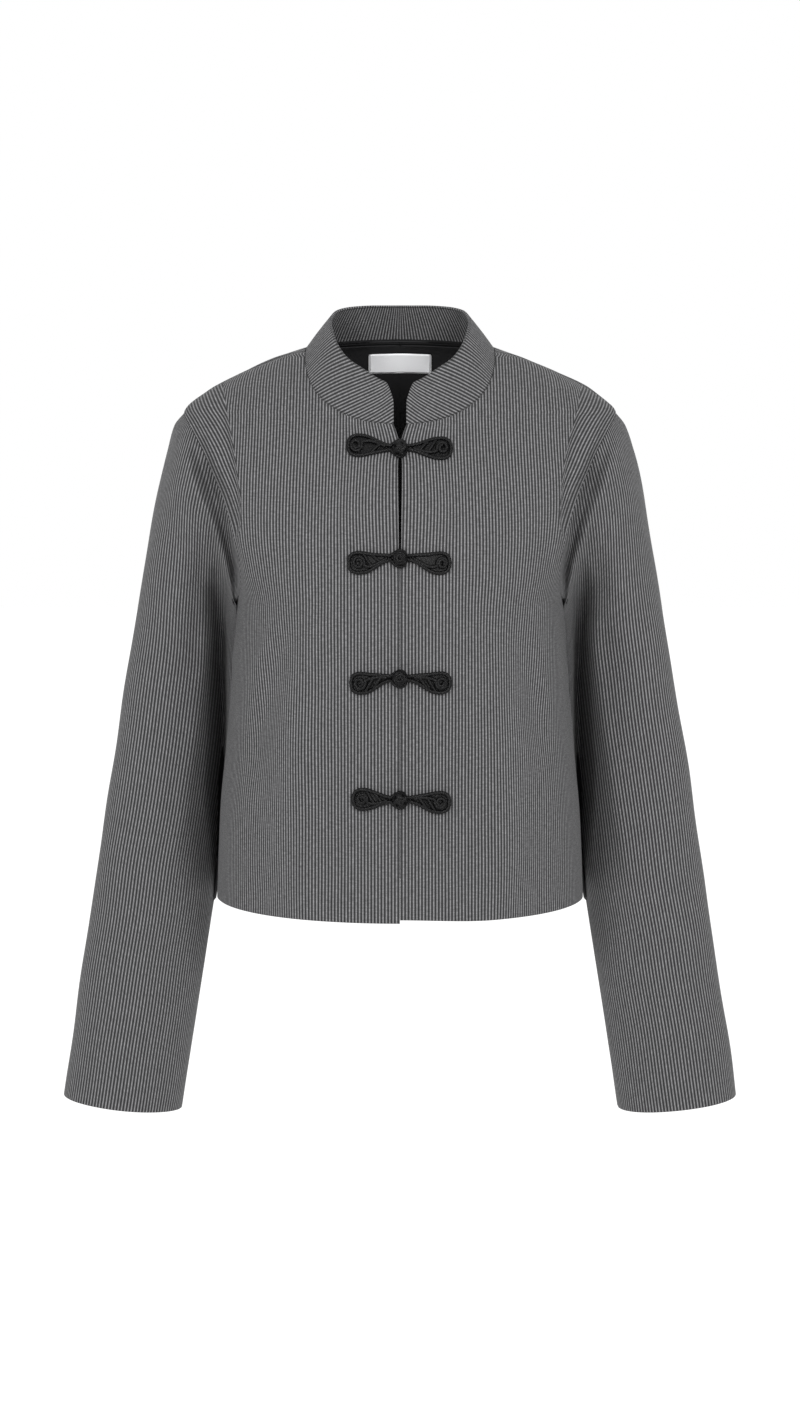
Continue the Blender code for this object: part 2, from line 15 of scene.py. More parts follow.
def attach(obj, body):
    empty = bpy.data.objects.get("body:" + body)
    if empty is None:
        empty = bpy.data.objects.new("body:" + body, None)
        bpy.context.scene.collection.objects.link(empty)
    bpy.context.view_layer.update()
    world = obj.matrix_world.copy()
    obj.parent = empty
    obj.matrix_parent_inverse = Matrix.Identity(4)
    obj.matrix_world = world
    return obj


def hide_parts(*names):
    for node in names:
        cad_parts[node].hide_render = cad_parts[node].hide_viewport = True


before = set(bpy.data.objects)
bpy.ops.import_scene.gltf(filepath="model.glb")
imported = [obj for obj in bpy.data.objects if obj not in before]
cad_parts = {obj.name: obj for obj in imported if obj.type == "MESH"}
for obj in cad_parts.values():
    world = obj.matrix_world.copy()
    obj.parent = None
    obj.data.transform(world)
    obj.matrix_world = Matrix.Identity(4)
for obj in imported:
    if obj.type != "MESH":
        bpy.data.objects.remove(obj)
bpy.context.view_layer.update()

# The studio. The camera looks straight at the front from a little above, over a pale floor, in the
# even light of a product picture: a white surround, and a broad lamp on either side of the camera.
CAMERA_PLACE = Vector((0.0, -3.1800, 0.0362))
CAMERA_AIM = Vector((0.0, 0.0, -0.3205))
LENS_MM = 90.27
FLOOR_LEVEL = -1.40
FLOOR_HALF = 14.0
SURROUND_STRENGTH = 1.0
LAMPS = (Vector((-0.95, -1.80, 0.46)), Vector((0.95, -1.80, 0.46)))
LAMP_SIZE = 0.65
LAMP_WATTS = 25.0
FLOOR_ROUGHNESS = 0.9
FLOOR_GLOW = 0.25
FLOOR_GREY = (0.86, 0.86, 0.86, 1.0)
WHITE = (1.0, 1.0, 1.0, 1.0)

scene = bpy.context.scene
scene.view_settings.view_transform = "Standard"


def add_object(name, data):
    """A new object in the scene."""
    made = bpy.data.objects.new(name, data)
    scene.collection.objects.link(made)
    return made


def aim(thing, place):
    """Set a camera or a lamp at a place, looking at the middle of the jacket."""
    thing.location = place
    thing.rotation_euler = (CAMERA_AIM - place).to_track_quat("-Z", "Y").to_euler()


def start_material(name):
    """A new material; returns it with its node tree and its main shader."""
    material = bpy.data.materials.new(name)
    material.use_nodes = True
    return material, material.node_tree, material.node_tree.nodes["Principled BSDF"]


camera_data = bpy.data.cameras.new("camera")
camera_data.lens = LENS_MM
camera = add_object("camera", camera_data)
aim(camera, CAMERA_PLACE)
scene.camera = camera

surround = bpy.data.worlds.new("surround")
surround.use_nodes = True
surround.node_tree.nodes["Background"].inputs["Color"].default_value = WHITE
surround.node_tree.nodes["Background"].inputs["Strength"].default_value = SURROUND_STRENGTH
scene.world = surround

for lamp_place in LAMPS:
    lamp_data = bpy.data.lights.new("broad_lamp", "AREA")
    lamp_data.size = LAMP_SIZE
    lamp_data.energy = LAMP_WATTS
    aim(add_object("broad_lamp", lamp_data), lamp_place)

floor_mesh = bpy.data.meshes.new("floor")
floor_corners = [(x, y, FLOOR_LEVEL) for x, y in ((-1, -1), (1, -1), (1, 1), (-1, 1))]
floor_mesh.from_pydata([(x * FLOOR_HALF, y * FLOOR_HALF, z) for x, y, z in floor_corners], [], [(0, 1, 2, 3)])
floor = add_object("floor", floor_mesh)
floor_paint, _, floor_shader = start_material("pale_floor")
floor_shader.inputs["Base Color"].default_value = FLOOR_GREY
floor_shader.inputs["Roughness"].default_value = FLOOR_ROUGHNESS
floor_shader.inputs["Emission Color"].default_value = WHITE
floor_shader.inputs["Emission Strength"].default_value = FLOOR_GLOW
floor_mesh.materials.append(floor_paint)

# The striped suiting, used for the fronts, the back, the sleeves and the collar. It is a fine worsted
# with a light and a dark line in each repeat, woven, slightly heathered and matt. The pattern follows
# the cut of each piece: a map named grain gives metres across and along the stripes.
STRIPE_REPEAT = 0.00294
STRIPE_DARK = (0.010, 0.010, 0.0105, 1.0)
STRIPE_MIDDLE = (0.044, 0.044, 0.046, 1.0)
STRIPE_LIGHT = (0.160, 0.159, 0.162, 1.0)
# Where each shade lies in half of a repeat, from the dark line to the light one
DARK_PLACE = 0.12
MIDDLE_PLACES = (0.36, 0.66)
LIGHT_PLACE = 0.97
SUITING_THREADS = 1500.0
SUITING_SLUB_STRETCH = 0.22
# Darkest and lightest of the single threads, of broad clouds and of long slubs in the weft
THREAD_SHADES = (0.60, 1.40)
CLOUD_SHADES = (0.94, 1.06)
SLUB_SHADES = (0.58, 1.42)
CLOUD_SCALE = 60.0
SLUB_SCALE = 700.0
SLUB_DRAWN_OUT = (0.22, 1.0, 1.0)


def add_node(tree, kind, **settings):
    """Add a node and set its plain properties; a setting named in_X sets input number X."""
    node = tree.nodes.new(kind)
    for name, value in settings.items():
        if name.startswith("in_"):
            node.inputs[int(name[3:])].default_value = value
        else:
            setattr(node, name, value)
    return node


def do_maths(tree, operation, first, second=None):
    """A math node on sockets or numbers; returns its output."""
    node = add_node(tree, "ShaderNodeMath", operation=operation)
    for index, value in enumerate((first, second)):
        if isinstance(value, bpy.types.NodeSocket):
            tree.links.new(value, node.inputs[index])
        elif value is not None:
            node.inputs[index].default_value = value
    return node.outputs[0]


def add_noise(tree, place, scale, detail=2.0):
    """Soft flat noise on a place; returns its value."""
    noise = add_node(tree, "ShaderNodeTexNoise", noise_dimensions="2D")
    noise.inputs["Detail"].default_value = detail
    tree.links.new(place, noise.inputs["Vector"])
    if isinstance(scale, bpy.types.NodeSocket):
        tree.links.new(scale, noise.inputs["Scale"])
    else:
        noise.inputs["Scale"].default_value = scale
    return noise.outputs["Fac"]


def build_weave_group():
    """Plain weave: the height of crossing threads, and the uneven shade of single threads."""
    tree = bpy.data.node_groups.new("plain weave", "ShaderNodeTree")
    tree.interface.new_socket("Place", in_out="INPUT", socket_type="NodeSocketVector")
    tree.interface.new_socket("Threads per metre", in_out="INPUT", socket_type="NodeSocketFloat")
    tree.interface.new_socket("Slub stretch", in_out="INPUT", socket_type="NodeSocketFloat")
    tree.interface.new_socket("Height", in_out="OUTPUT", socket_type="NodeSocketFloat")
    tree.interface.new_socket("Fleck", in_out="OUTPUT", socket_type="NodeSocketFloat")
    inside = tree.nodes.new("NodeGroupInput")
    outside = tree.nodes.new("NodeGroupOutput")
    split = add_node(tree, "ShaderNodeSeparateXYZ")
    tree.links.new(inside.outputs["Place"], split.inputs[0])
    waves = []
    for axis in (0, 1):
        turns = do_maths(tree, "MULTIPLY", split.outputs[axis], inside.outputs["Threads per metre"])
        waves.append(do_maths(tree, "SINE", do_maths(tree, "MULTIPLY", turns, 2.0 * pi)))
    height = do_maths(tree, "MULTIPLY", waves[0], waves[1])
    tree.links.new(height, outside.inputs["Height"])
    drawn = add_node(tree, "ShaderNodeCombineXYZ")
    tree.links.new(split.outputs[0], drawn.inputs[0])
    slubbed = do_maths(tree, "MULTIPLY", split.outputs[1], inside.outputs["Slub stretch"])
    tree.links.new(slubbed, drawn.inputs[1])
    fleck = add_noise(tree, drawn.outputs[0], inside.outputs["Threads per metre"])
    tree.links.new(fleck, outside.inputs["Fleck"])
    return tree


weave_group = build_weave_group()


def add_weave(tree, place, threads_per_metre, slub_stretch):
    """Place the weave group in a material and return its node."""
    node = add_node(tree, "ShaderNodeGroup", node_tree=weave_group)
    tree.links.new(place, node.inputs["Place"])
    node.inputs["Threads per metre"].default_value = threads_per_metre
    node.inputs["Slub stretch"].default_value = slub_stretch
    return node


def shade_by(tree, colour, amount, low, high):
    """Multiply a colour by a number that runs from low to high as amount runs from 0 to 1."""
    spread = add_node(tree, "ShaderNodeMapRange", in_3=low, in_4=high)
    tree.links.new(amount, spread.inputs[0])
    mix = add_node(tree, "ShaderNodeVectorMath", operation="SCALE")
    tree.links.new(colour, mix.inputs[0])
    tree.links.new(spread.outputs[0], mix.inputs["Scale"])
    return mix.outputs[0]


def tint(tree, shader, colour, weave, shades):
    """Give a shader one colour, which varies a little from thread to thread."""
    plain = add_node(tree, "ShaderNodeRGB")
    plain.outputs[0].default_value = colour
    shaded = shade_by(tree, plain.outputs[0], weave.outputs["Fleck"], *shades)
    tree.links.new(shaded, shader.inputs["Base Color"])


def add_relief(tree, height, strength, distance, under=None):
    """A bump made from a height, over another one if it is given; returns its normal."""
    bump = add_node(tree, "ShaderNodeBump", in_0=strength)
    bump.inputs["Distance"].default_value = distance
    tree.links.new(height, bump.inputs["Height"])
    if under is not None:
        tree.links.new(under, bump.inputs["Normal"])
    return bump.outputs[0]


def make_suiting():
    material, tree, shader = start_material("striped_suiting")
    grain = add_node(tree, "ShaderNodeUVMap", uv_map="grain")
    turned_grain = add_node(tree, "ShaderNodeUVMap", uv_map="turned_grain")
    turned = add_node(tree, "ShaderNodeAttribute", attribute_name="turned")
    is_turned = do_maths(tree, "GREATER_THAN", turned.outputs["Fac"], 0.0)
    choose = add_node(tree, "ShaderNodeMix", data_type="VECTOR")
    tree.links.new(is_turned, choose.inputs["Factor"])
    tree.links.new(grain.outputs[0], choose.inputs[4])
    tree.links.new(turned_grain.outputs[0], choose.inputs[5])
    place = choose.outputs[1]
    split = add_node(tree, "ShaderNodeSeparateXYZ")
    tree.links.new(place, split.inputs[0])
    phase = do_maths(tree, "MULTIPLY", split.outputs[0], 2.0 * pi / STRIPE_REPEAT)
    wave = do_maths(tree, "MULTIPLY", do_maths(tree, "ADD", do_maths(tree, "COSINE", phase), 1.0), 0.5)
    lines = add_node(tree, "ShaderNodeValToRGB")
    stops = lines.color_ramp.elements
    stops[0].position = DARK_PLACE
    stops[0].color = STRIPE_DARK
    stops[1].position = LIGHT_PLACE
    stops[1].color = STRIPE_LIGHT
    for position in MIDDLE_PLACES:
        stops.new(position).color = STRIPE_MIDDLE
    tree.links.new(wave, lines.inputs[0])
    weave = add_weave(tree, place, SUITING_THREADS, SUITING_SLUB_STRETCH)
    drawn = add_node(tree, "ShaderNodeVectorMath", operation="MULTIPLY")
    drawn.inputs[1].default_value = SLUB_DRAWN_OUT
    tree.links.new(place, drawn.inputs[0])
    shaded = shade_by(tree, lines.outputs[0], weave.outputs["Fleck"], *THREAD_SHADES)
    shaded = shade_by(tree, shaded, add_noise(tree, place, CLOUD_SCALE), *CLOUD_SHADES)
    shaded = shade_by(tree, shaded, add_noise(tree, drawn.outputs[0], SLUB_SCALE, 1.0), *SLUB_SHADES)
    tree.links.new(shaded, shader.inputs["Base Color"])
    shader.inputs["Roughness"].default_value = 0.86
    shader.inputs["Specular IOR Level"].default_value = 0.25
    shader.inputs["Sheen Weight"].default_value = 0.06
    rib = add_relief(tree, wave, strength=0.35, distance=0.00025)
    threads = add_relief(tree, weave.outputs["Height"], strength=0.5, distance=0.00008, under=rib)
    tree.links.new(threads, shader.inputs["Normal"])
    return material


suiting = make_suiting()

# The black lining, a smooth, light twill that shows inside the neck, the cuffs and the hem.
LINING_COLOUR = (0.0085, 0.0085, 0.0092, 1.0)


def plain_cloth(name, colour, shades, threads, slub_stretch, roughness, gloss, relief):
    """A plain woven cloth of one colour; relief is the strength and the height of its threads."""
    material, tree, shader = start_material(name)
    grain = add_node(tree, "ShaderNodeUVMap", uv_map="grain")
    weave = add_weave(tree, grain.outputs[0], threads, slub_stretch)
    tint(tree, shader, colour, weave, shades)
    shader.inputs["Roughness"].default_value = roughness
    shader.inputs["Specular IOR Level"].default_value = gloss
    tree.links.new(add_relief(tree, weave.outputs["Height"], *relief), shader.inputs["Normal"])
    return material


lining_cloth = plain_cloth(
    "black_lining", LINING_COLOUR, shades=(0.75, 1.25), threads=2600.0, slub_stretch=0.3, roughness=0.62,
    gloss=0.25, relief=(0.3, 0.00004),
)

# The two fronts, cut in one piece each from the front edge to the side seam, armhole and shoulder, and
# set edge to edge. They hang from the shoulders in a soft, slightly flared body.
# Body sections. Columns: level, half_width, front_depth, back_depth, middle_y
BODY_SECTIONS = np.array((
    (0.0000, 0.0848, 0.0110, 0.0200, 0.0100),
    (-0.0027, 0.1003, 0.0170, 0.0330, 0.0100),
    (-0.0107, 0.1222, 0.0290, 0.0520, 0.0100),
    (-0.0196, 0.1430, 0.0410, 0.0640, 0.0100),
    (-0.0356, 0.1728, 0.0600, 0.0770, 0.0100),
    (-0.0552, 0.1932, 0.0750, 0.0870, 0.0100),
    (-0.0780, 0.1950, 0.0890, 0.0950, 0.0090),
    (-0.1000, 0.1945, 0.0995, 0.1010, 0.0075),
    (-0.1300, 0.1870, 0.1100, 0.1070, 0.0055),
    (-0.1600, 0.1745, 0.1175, 0.1100, 0.0035),
    (-0.1900, 0.1585, 0.1215, 0.1110, 0.0015),
    (-0.2220, 0.1460, 0.1230, 0.1100, 0.0000),
    (-0.2700, 0.1495, 0.1240, 0.1070, -0.0005),
    (-0.3500, 0.1560, 0.1240, 0.1040, -0.0010),
    (-0.4200, 0.1625, 0.1240, 0.1070, -0.0015),
    (-0.4950, 0.1655, 0.1250, 0.1130, -0.0020),
))
SQUARENESS = 0.15
BACK_NECK_LEVEL = -0.0120
BACK_NECK_RISE = 0.0200
BACK_RISE_ENDS_LEVEL = -0.1400
UNDERARM_LEVEL = -0.2220
SHOULDER_TIP_LEVEL = -0.0552
ARMHOLE_FRONT_REACH = 34.0
ARMHOLE_BACK_REACH = 32.0
NECK_HALF_WIDTH = 0.0848
FRONT_NECK_LEVEL = -0.0625
NECK_SQUARENESS = 2.3
NECK_START = 2.47
NECK_CROWDING = 1.25
HEM_SIDE_LEVEL = -0.4900
HEM_FRONT_LEVEL = -0.4945
HEM_BACK_LEVEL = -0.4925
LEFT_HEM_LIFT = 0.0030
HEM_LIFT_REACH = 30.0
# Half of the gap between the front edges. Columns: level, half_gap
FRONT_EDGE = np.array((
    (-0.0625, 0.0055),
    (-0.0710, 0.0024),
    (-0.0790, 0.0005),
    (-0.0870, 0.0008),
    (-0.0960, 0.0018),
    (-0.1150, 0.0017),
    (-0.1400, 0.0013),
    (-0.1700, 0.0009),
    (-0.1900, 0.0002),
    (-0.2200, 0.00005),
    (-0.5000, 0.00005),
))
# The soft fold in front of each armhole. Columns: level, distance from the centre
FOLD_RIGHT = np.array((
    (0.0000, 0.1640), (-0.0310, 0.1570), (-0.0600, 0.1510), (-0.0838, 0.1457), (-0.1056, 0.1418),
    (-0.1326, 0.1388), (-0.1490, 0.1388), (-0.1650, 0.1440), (-0.1800, 0.1540),
))
FOLD_LEFT = np.array((
    (0.0000, 0.1680), (-0.0490, 0.1570), (-0.0810, 0.1470), (-0.1056, 0.1425), (-0.1326, 0.1395),
    (-0.1490, 0.1395), (-0.1650, 0.1445), (-0.1800, 0.1540),
))
FOLD_DEPTH = 0.0042
FOLD_WIDTH = 0.024
FOLD_NEAR_SLOPE = 0.005
FOLD_FAR_SLOPE = 0.018
FOLD_TOP_LEVEL = -0.025
FOLD_TOP_FADE = 0.045
FOLD_BOTTOM_LEVEL = -0.182
FOLD_BOTTOM_FADE = 0.020
FOLD_GRAIN_START = 0.16
# How the stripes stray: bowed beside the opening, spread to the shoulders, drawn aside near the side seams
STRIPE_BOW = 0.0014
STRIPE_BOW_TOP = -0.0835
STRIPE_BOW_HEIGHT = 0.0929
STRIPE_BOW_PLACE = 0.030
STRIPE_BOW_HALF_WIDTH = 0.022
STRIPE_EDGE_REACH = 0.06
STRIPE_SPREAD = 0.05
STRIPE_SPREAD_LEVEL = -0.17
STRIPE_SPREAD_REACH = 0.13
STRIPE_DRAW = 0.010
STRIPE_DRAW_PLACE = 0.085
STRIPE_DRAW_REACH = 0.05
STRIPE_DRAW_LEVEL = -0.20
STRIPE_DRAW_FADE = 0.16
# Other soft folds of the body. Columns: side, from across, from level, to across, to level, half_width, height
BODY_FOLDS = (
    (-1, 0.104, -0.235, 0.146, -0.380, 0.015, -0.0044),
    (-1, 0.088, -0.300, 0.118, -0.470, 0.020, 0.0030),
    (-1, 0.050, -0.330, 0.060, -0.490, 0.020, -0.0018),
    (-1, 0.066, -0.090, 0.078, -0.230, 0.024, -0.0014),
    (1, 0.108, -0.225, 0.140, -0.350, 0.017, -0.0040),
    (1, 0.082, -0.210, 0.096, -0.330, 0.022, -0.0024),
    (1, 0.112, -0.330, 0.100, -0.480, 0.020, 0.0028),
    (1, 0.045, -0.300, 0.058, -0.490, 0.020, -0.0018),
    (1, 0.070, -0.080, 0.062, -0.200, 0.026, 0.0016),
)
BODY_THICKNESS = 0.0019
CLOTH_RIPPLE = 0.00035
FRONT_FACING = 0.060
HEM_TURN_UP = 0.035
RIGHT = -1
LEFT = 1


def curve_between(u, width, values, tangents, k):
    """A smooth curve from value k to the next one, a width apart, at places u from 0 to 1."""
    leaving = (2 * u ** 3 - 3 * u ** 2 + 1) * values[k] + (u ** 3 - 2 * u ** 2 + u) * width * tangents[k]
    return leaving + (3 * u ** 2 - 2 * u ** 3) * values[k + 1] + (u ** 3 - u ** 2) * width * tangents[k + 1]


def read_table(table, at):
    """Smooth values of a table's other columns at places along its first one, never overshooting."""
    at = np.asarray(at, float)
    order = np.argsort(table[:, 0])
    x = table[order, 0]
    y = table[order, 1:]
    step = np.diff(x)[:, None]
    slope = np.diff(y, axis=0) / step
    tangent = np.zeros_like(y)
    tangent[0] = slope[0]
    tangent[-1] = slope[-1]
    rising = slope[:-1] * slope[1:]
    total = np.where(rising > 0.0, slope[:-1] + slope[1:], 1.0)
    tangent[1:-1] = np.where(rising > 0.0, 2.0 * rising / total, 0.0)
    at = np.clip(at, x[0], x[-1])
    k = np.clip(np.searchsorted(x, at) - 1, 0, len(step) - 1)
    return curve_between((at - x[k])[..., None] / step[k], step[k], y, tangent, k)


def ease(u):
    """Soft step from 0 to 1."""
    u = np.clip(u, 0.0, 1.0)
    return u * u * (3.0 - 2.0 * u)


def unit(vectors):
    return vectors / np.maximum(np.linalg.norm(vectors, axis=-1, keepdims=True), 1e-12)


def body_point(angle, level):
    """Points of the body: angle in degrees, 0 centre front, 90 side, 180 centre back."""
    angle, level = np.broadcast_arrays(np.asarray(angle, float), np.asarray(level, float))
    turn = np.radians(angle)
    half_width, front_depth, back_depth, middle_y = np.moveaxis(read_table(BODY_SECTIONS, level), -1, 0)
    depth = np.where(np.cos(turn) > 0.0, front_depth, back_depth)
    reach = depth * np.cos(turn) * (1.0 + SQUARENESS * np.sin(turn) ** 2)
    fade = ease((level - BACK_RISE_ENDS_LEVEL) / (BACK_NECK_LEVEL - BACK_RISE_ENDS_LEVEL))
    rise = np.where(np.cos(turn) < 0.0, BACK_NECK_RISE * np.cos(turn) ** 2 * fade, 0.0)
    return np.stack((half_width * np.sin(turn), middle_y - reach, level + rise), axis=-1)


def body_out(angle, level):
    """Outward direction of the body's surface."""
    level = np.minimum(level, -0.001)
    around = body_point(angle + 0.5, level) - body_point(angle - 0.5, level)
    upward = body_point(angle, level + 0.0005) - body_point(angle, level - 0.0005)
    return unit(np.cross(around, upward))


def angle_at(x, level):
    """Body angle on the front at a distance from the centre."""
    return np.degrees(np.arcsin(x / read_table(BODY_SECTIONS, level)[..., 0]))


def armhole_place(around):
    """Body angle and level of the armhole seam: 0 shoulder, 90 front, 180 underarm, 270 back."""
    turn = np.radians(around)
    reach = np.where(np.sin(turn) > 0.0, ARMHOLE_FRONT_REACH, ARMHOLE_BACK_REACH)
    middle = 0.5 * (SHOULDER_TIP_LEVEL + UNDERARM_LEVEL)
    half_height = 0.5 * (SHOULDER_TIP_LEVEL - UNDERARM_LEVEL)
    return 90.0 - reach * np.sin(turn), middle + half_height * np.cos(turn)


def neck_place(around, margin=0.0):
    """Body angle and level of the neck seam: 0 centre front, 90 side, 180 centre back."""
    turn = np.radians(around)
    power = 2.0 / NECK_SQUARENESS
    drop = np.where(np.cos(turn) > 0.0, FRONT_NECK_LEVEL, BACK_NECK_LEVEL) - margin
    level = drop * np.abs(np.cos(turn)) ** power
    half_width = read_table(BODY_SECTIONS, level)[..., 0]
    sine = np.minimum((NECK_HALF_WIDTH + margin) * np.abs(np.sin(turn)) ** power / half_width, 1.0)
    angle = np.degrees(np.arcsin(sine))
    return np.where(np.asarray(around) <= 90.0, angle, 180.0 - angle), level


def front_edge_angle(level):
    return angle_at(read_table(FRONT_EDGE, level)[..., 0], level)


def hem_level(angle, side):
    """Level of the hem: it dips to the front and the back, and the left front starts a little higher."""
    turn = np.radians(angle)
    dip = np.where(np.cos(turn) > 0.0, HEM_FRONT_LEVEL, HEM_BACK_LEVEL)
    level = HEM_SIDE_LEVEL + (dip - HEM_SIDE_LEVEL) * np.cos(turn) ** 2
    if side == LEFT:
        level = level + LEFT_HEM_LIFT * (1.0 - ease(angle / HEM_LIFT_REACH)) * (np.cos(turn) > 0.0)
    return level


def added_up(steps, axis=0):
    """Running totals of steps along an axis, starting at zero."""
    return np.concatenate((np.zeros_like(np.take(steps, [0], axis)), np.cumsum(steps, axis)), axis)


def length_along(points, axis=0):
    """Length of the way to each point from the first one, along an axis of their grid."""
    return added_up(np.linalg.norm(np.diff(points, axis=axis), axis=-1), axis)


RUN_LEVELS = np.linspace(-0.5, 0.0, 101)
RUN_ANGLES = np.linspace(0.0, 180.0, 181)
run_table = length_along(body_point(RUN_ANGLES[None, :], RUN_LEVELS[:, None]), 1)


def run_from_front(angle, level):
    """Length of cloth along the body, level, from the centre front."""
    i = np.clip((level - RUN_LEVELS[0]) / (RUN_LEVELS[1] - RUN_LEVELS[0]), 0.0, len(RUN_LEVELS) - 1.001)
    j = np.clip(angle, 0.0, 179.999)
    i0 = i.astype(int)
    j0 = j.astype(int)
    u = i - i0
    v = j - j0
    low = run_table[i0, j0] * (1 - v) + run_table[i0, j0 + 1] * v
    high = run_table[i0 + 1, j0] * (1 - v) + run_table[i0 + 1, j0 + 1] * v
    return low * (1 - u) + high * u


def crowded(count, ends=(0.0012, 0.0036, 0.0075)):
    """Places from 0 to 1, closer together at both ends, where an edge is rounded."""
    inner = np.linspace(0.015, 0.985, count)
    return np.concatenate(((0.0,), ends, inner, tuple(1.0 - end for end in reversed(ends)), (1.0,)))


def panel_grid(inner_edge, outer_edge, bottom, rows_below, rows_beside, columns):
    """Body angles and levels of a half panel, from its inner edge out and from the hem up."""
    below = crowded(2 * rows_below)
    below = np.append(below[below < 0.5] * 2.0, 1.0)
    beside = crowded(2 * rows_beside)
    beside = beside[beside > 0.5] * 2.0 - 1.0
    heights = np.concatenate((below - 1.0, beside))
    upper = np.maximum(heights, 0.0)
    w = crowded(columns)[None, :]
    start_angle, start_level = (value[:, None] for value in inner_edge(upper))
    end_angle, end_level = (value[:, None] for value in outer_edge(upper))
    angle = start_angle + (end_angle - start_angle) * w
    level = start_level + (end_level - start_level) * w
    low = bottom(angle)
    share = np.minimum(heights + 1.0, 1.0)[:, None]
    return angle, np.where(heights[:, None] < 0.0, low + (UNDERARM_LEVEL - low) * share, level)


def fold_height(folds, across, along):
    """Sum of soft ridges and troughs, each along a straight line that fades out at its two ends."""
    height = np.zeros_like(across)
    for across_0, along_0, across_1, along_1, half_width, tall in folds:
        start = np.array((across_0, along_0))
        line = np.array((across_1, along_1)) - start
        length = np.hypot(*line)
        away = np.stack((across, along), axis=-1) - start
        t = (away @ line) / length ** 2
        off = (away[..., 0] * line[1] - away[..., 1] * line[0]) / length
        fade = ease((t + 0.15) / 0.45) * ease((1.15 - t) / 0.45)
        height += tall * fade * np.exp(-(off / half_width) ** 2)
    return height


def ripple(across, along, height):
    """The slight unevenness of pressed cloth."""
    wave = np.sin(across * 61.0 + along * 23.0 + 1.3) + np.sin(across * -34.0 + along * 47.0 + 4.1)
    wave = wave + 0.6 * np.sin(across * 118.0 + along * 71.0 + 2.2)
    return height * wave


def grid_out(points):
    """Unit directions square to a grid of points: rows run up, columns run across."""
    return unit(np.cross(np.gradient(points, axis=1), np.gradient(points, axis=0)))


def distance_to(points, *curves):
    """Distances from a grid of points to the nearest point of some curves."""
    places = np.concatenate(curves)
    tree = KDTree(len(places))
    for index, place in enumerate(places):
        tree.insert(place, index)
    tree.balance()
    return np.array([tree.find(place)[2] for place in points.reshape(-1, 3)]).reshape(points.shape[:2])


# Edges of cloth: reach of the rounding, and depth of its line under the outer face, of the thickness
FREE_EDGE = (0.0011, 0.5)
SEAM_EDGE = (0.0006, 0.16)
ON_THE_LINE = 1e-6


def wall_from_grid(points, out, thickness, edges):
    """Outer and inner points of a wall under a grid, closed along edges of (line, kind of edge)."""
    fullness = np.ones(points.shape[:2])
    depth = np.full(points.shape[:2], 0.5)
    for line, (reach, closing) in edges:
        near = distance_to(points, line)
        near[near < ON_THE_LINE] = 0.0
        part = np.sqrt(1.0 - (1.0 - np.minimum(near / reach, 1.0)) ** 2)
        depth = np.where(part < fullness, closing, depth)
        fullness = np.minimum(fullness, part)
    fullness = fullness[..., None]
    depth = depth[..., None]
    outer = points - out * thickness * depth * (1.0 - fullness)
    inner = points - out * thickness * (1.0 - (1.0 - depth) * (1.0 - fullness))
    return outer, inner


def grid_faces(index):
    """Four-sided faces of a grid of point numbers."""
    return np.stack((index[:-1, :-1], index[:-1, 1:], index[1:, 1:], index[1:, :-1]), axis=-1).reshape(-1, 4)


def map_places(mesh, name, places):
    """Give a mesh a map, from one flat place for each of its points."""
    corner = np.zeros(len(mesh.loops), int)
    mesh.loops.foreach_get("vertex_index", corner)
    mesh.uv_layers.new(name=name).data.foreach_set("uv", np.array(places)[corner].ravel())


def cloth_piece(name, walls, materials):
    """One closed mesh from walls, joined where they meet. A wall is its outer and inner points, its grain, the
    grain where the pattern turns, how far it has turned there, and where its inner side is lined."""
    points = []
    faces = []
    slots = []
    grain = []
    turned_grain = []
    turned = []
    for outer, inner, wall_grain, wall_turned_grain, wall_turned, lined in walls:
        rows, columns = outer.shape[:2]
        start = len(points)
        points += outer.reshape(-1, 3).tolist() + inner.reshape(-1, 3).tolist()
        for values, store in ((wall_grain, grain), (wall_turned_grain, turned_grain)):
            store += values.reshape(-1, 2).tolist() * 2
        turned += wall_turned.ravel().tolist() * 2
        quads = grid_faces(np.arange(rows * columns).reshape(rows, columns))
        faces += (start + quads).tolist()
        faces += (start + rows * columns + quads[:, ::-1]).tolist()
        slots += [0] * len(quads)
        slots += lined[:-1, :-1].ravel().astype(int).tolist()
    mesh = bpy.data.meshes.new(name)
    mesh.from_pydata(points, [], faces)
    mesh.polygons.foreach_set("material_index", slots)
    map_places(mesh, "grain", grain)
    map_places(mesh, "turned_grain", turned_grain)
    mesh.attributes.new("turned", "FLOAT", "POINT").data.foreach_set("value", turned)
    edit = bmesh.new()
    edit.from_mesh(mesh)
    bmesh.ops.remove_doubles(edit, verts=edit.verts, dist=2e-6)
    bmesh.ops.dissolve_degenerate(edit, edges=edit.edges, dist=1e-7)
    edit.to_mesh(mesh)
    edit.free()
    if mesh_volume(mesh) < 0.0:
        mesh.flip_normals()
    mesh.shade_smooth()
    for material in materials:
        mesh.materials.append(material)
    return add_object(name, mesh)


def mesh_volume(mesh):
    mesh.calc_loop_triangles()
    places = np.zeros(len(mesh.vertices) * 3)
    mesh.vertices.foreach_get("co", places)
    corners = np.zeros(len(mesh.loop_triangles) * 3, int)
    mesh.loop_triangles.foreach_get("vertices", corners)
    a, b, c = np.moveaxis(places.reshape(-1, 3)[corners.reshape(-1, 3)], 1, 0)
    return float(np.einsum("ij,ij->i", a, np.cross(b, c)).sum() / 6.0)


def mirrored(points, side):
    return points * np.array((side, 1.0, 1.0))


def plain_wall(outer, inner, grain, lined, side=LEFT):
    """A wall for cloth_piece on one side of the body, whose pattern runs one way all over."""
    return mirrored(outer, side), mirrored(inner, side), grain, grain, np.full(lined.shape, -1.0), lined


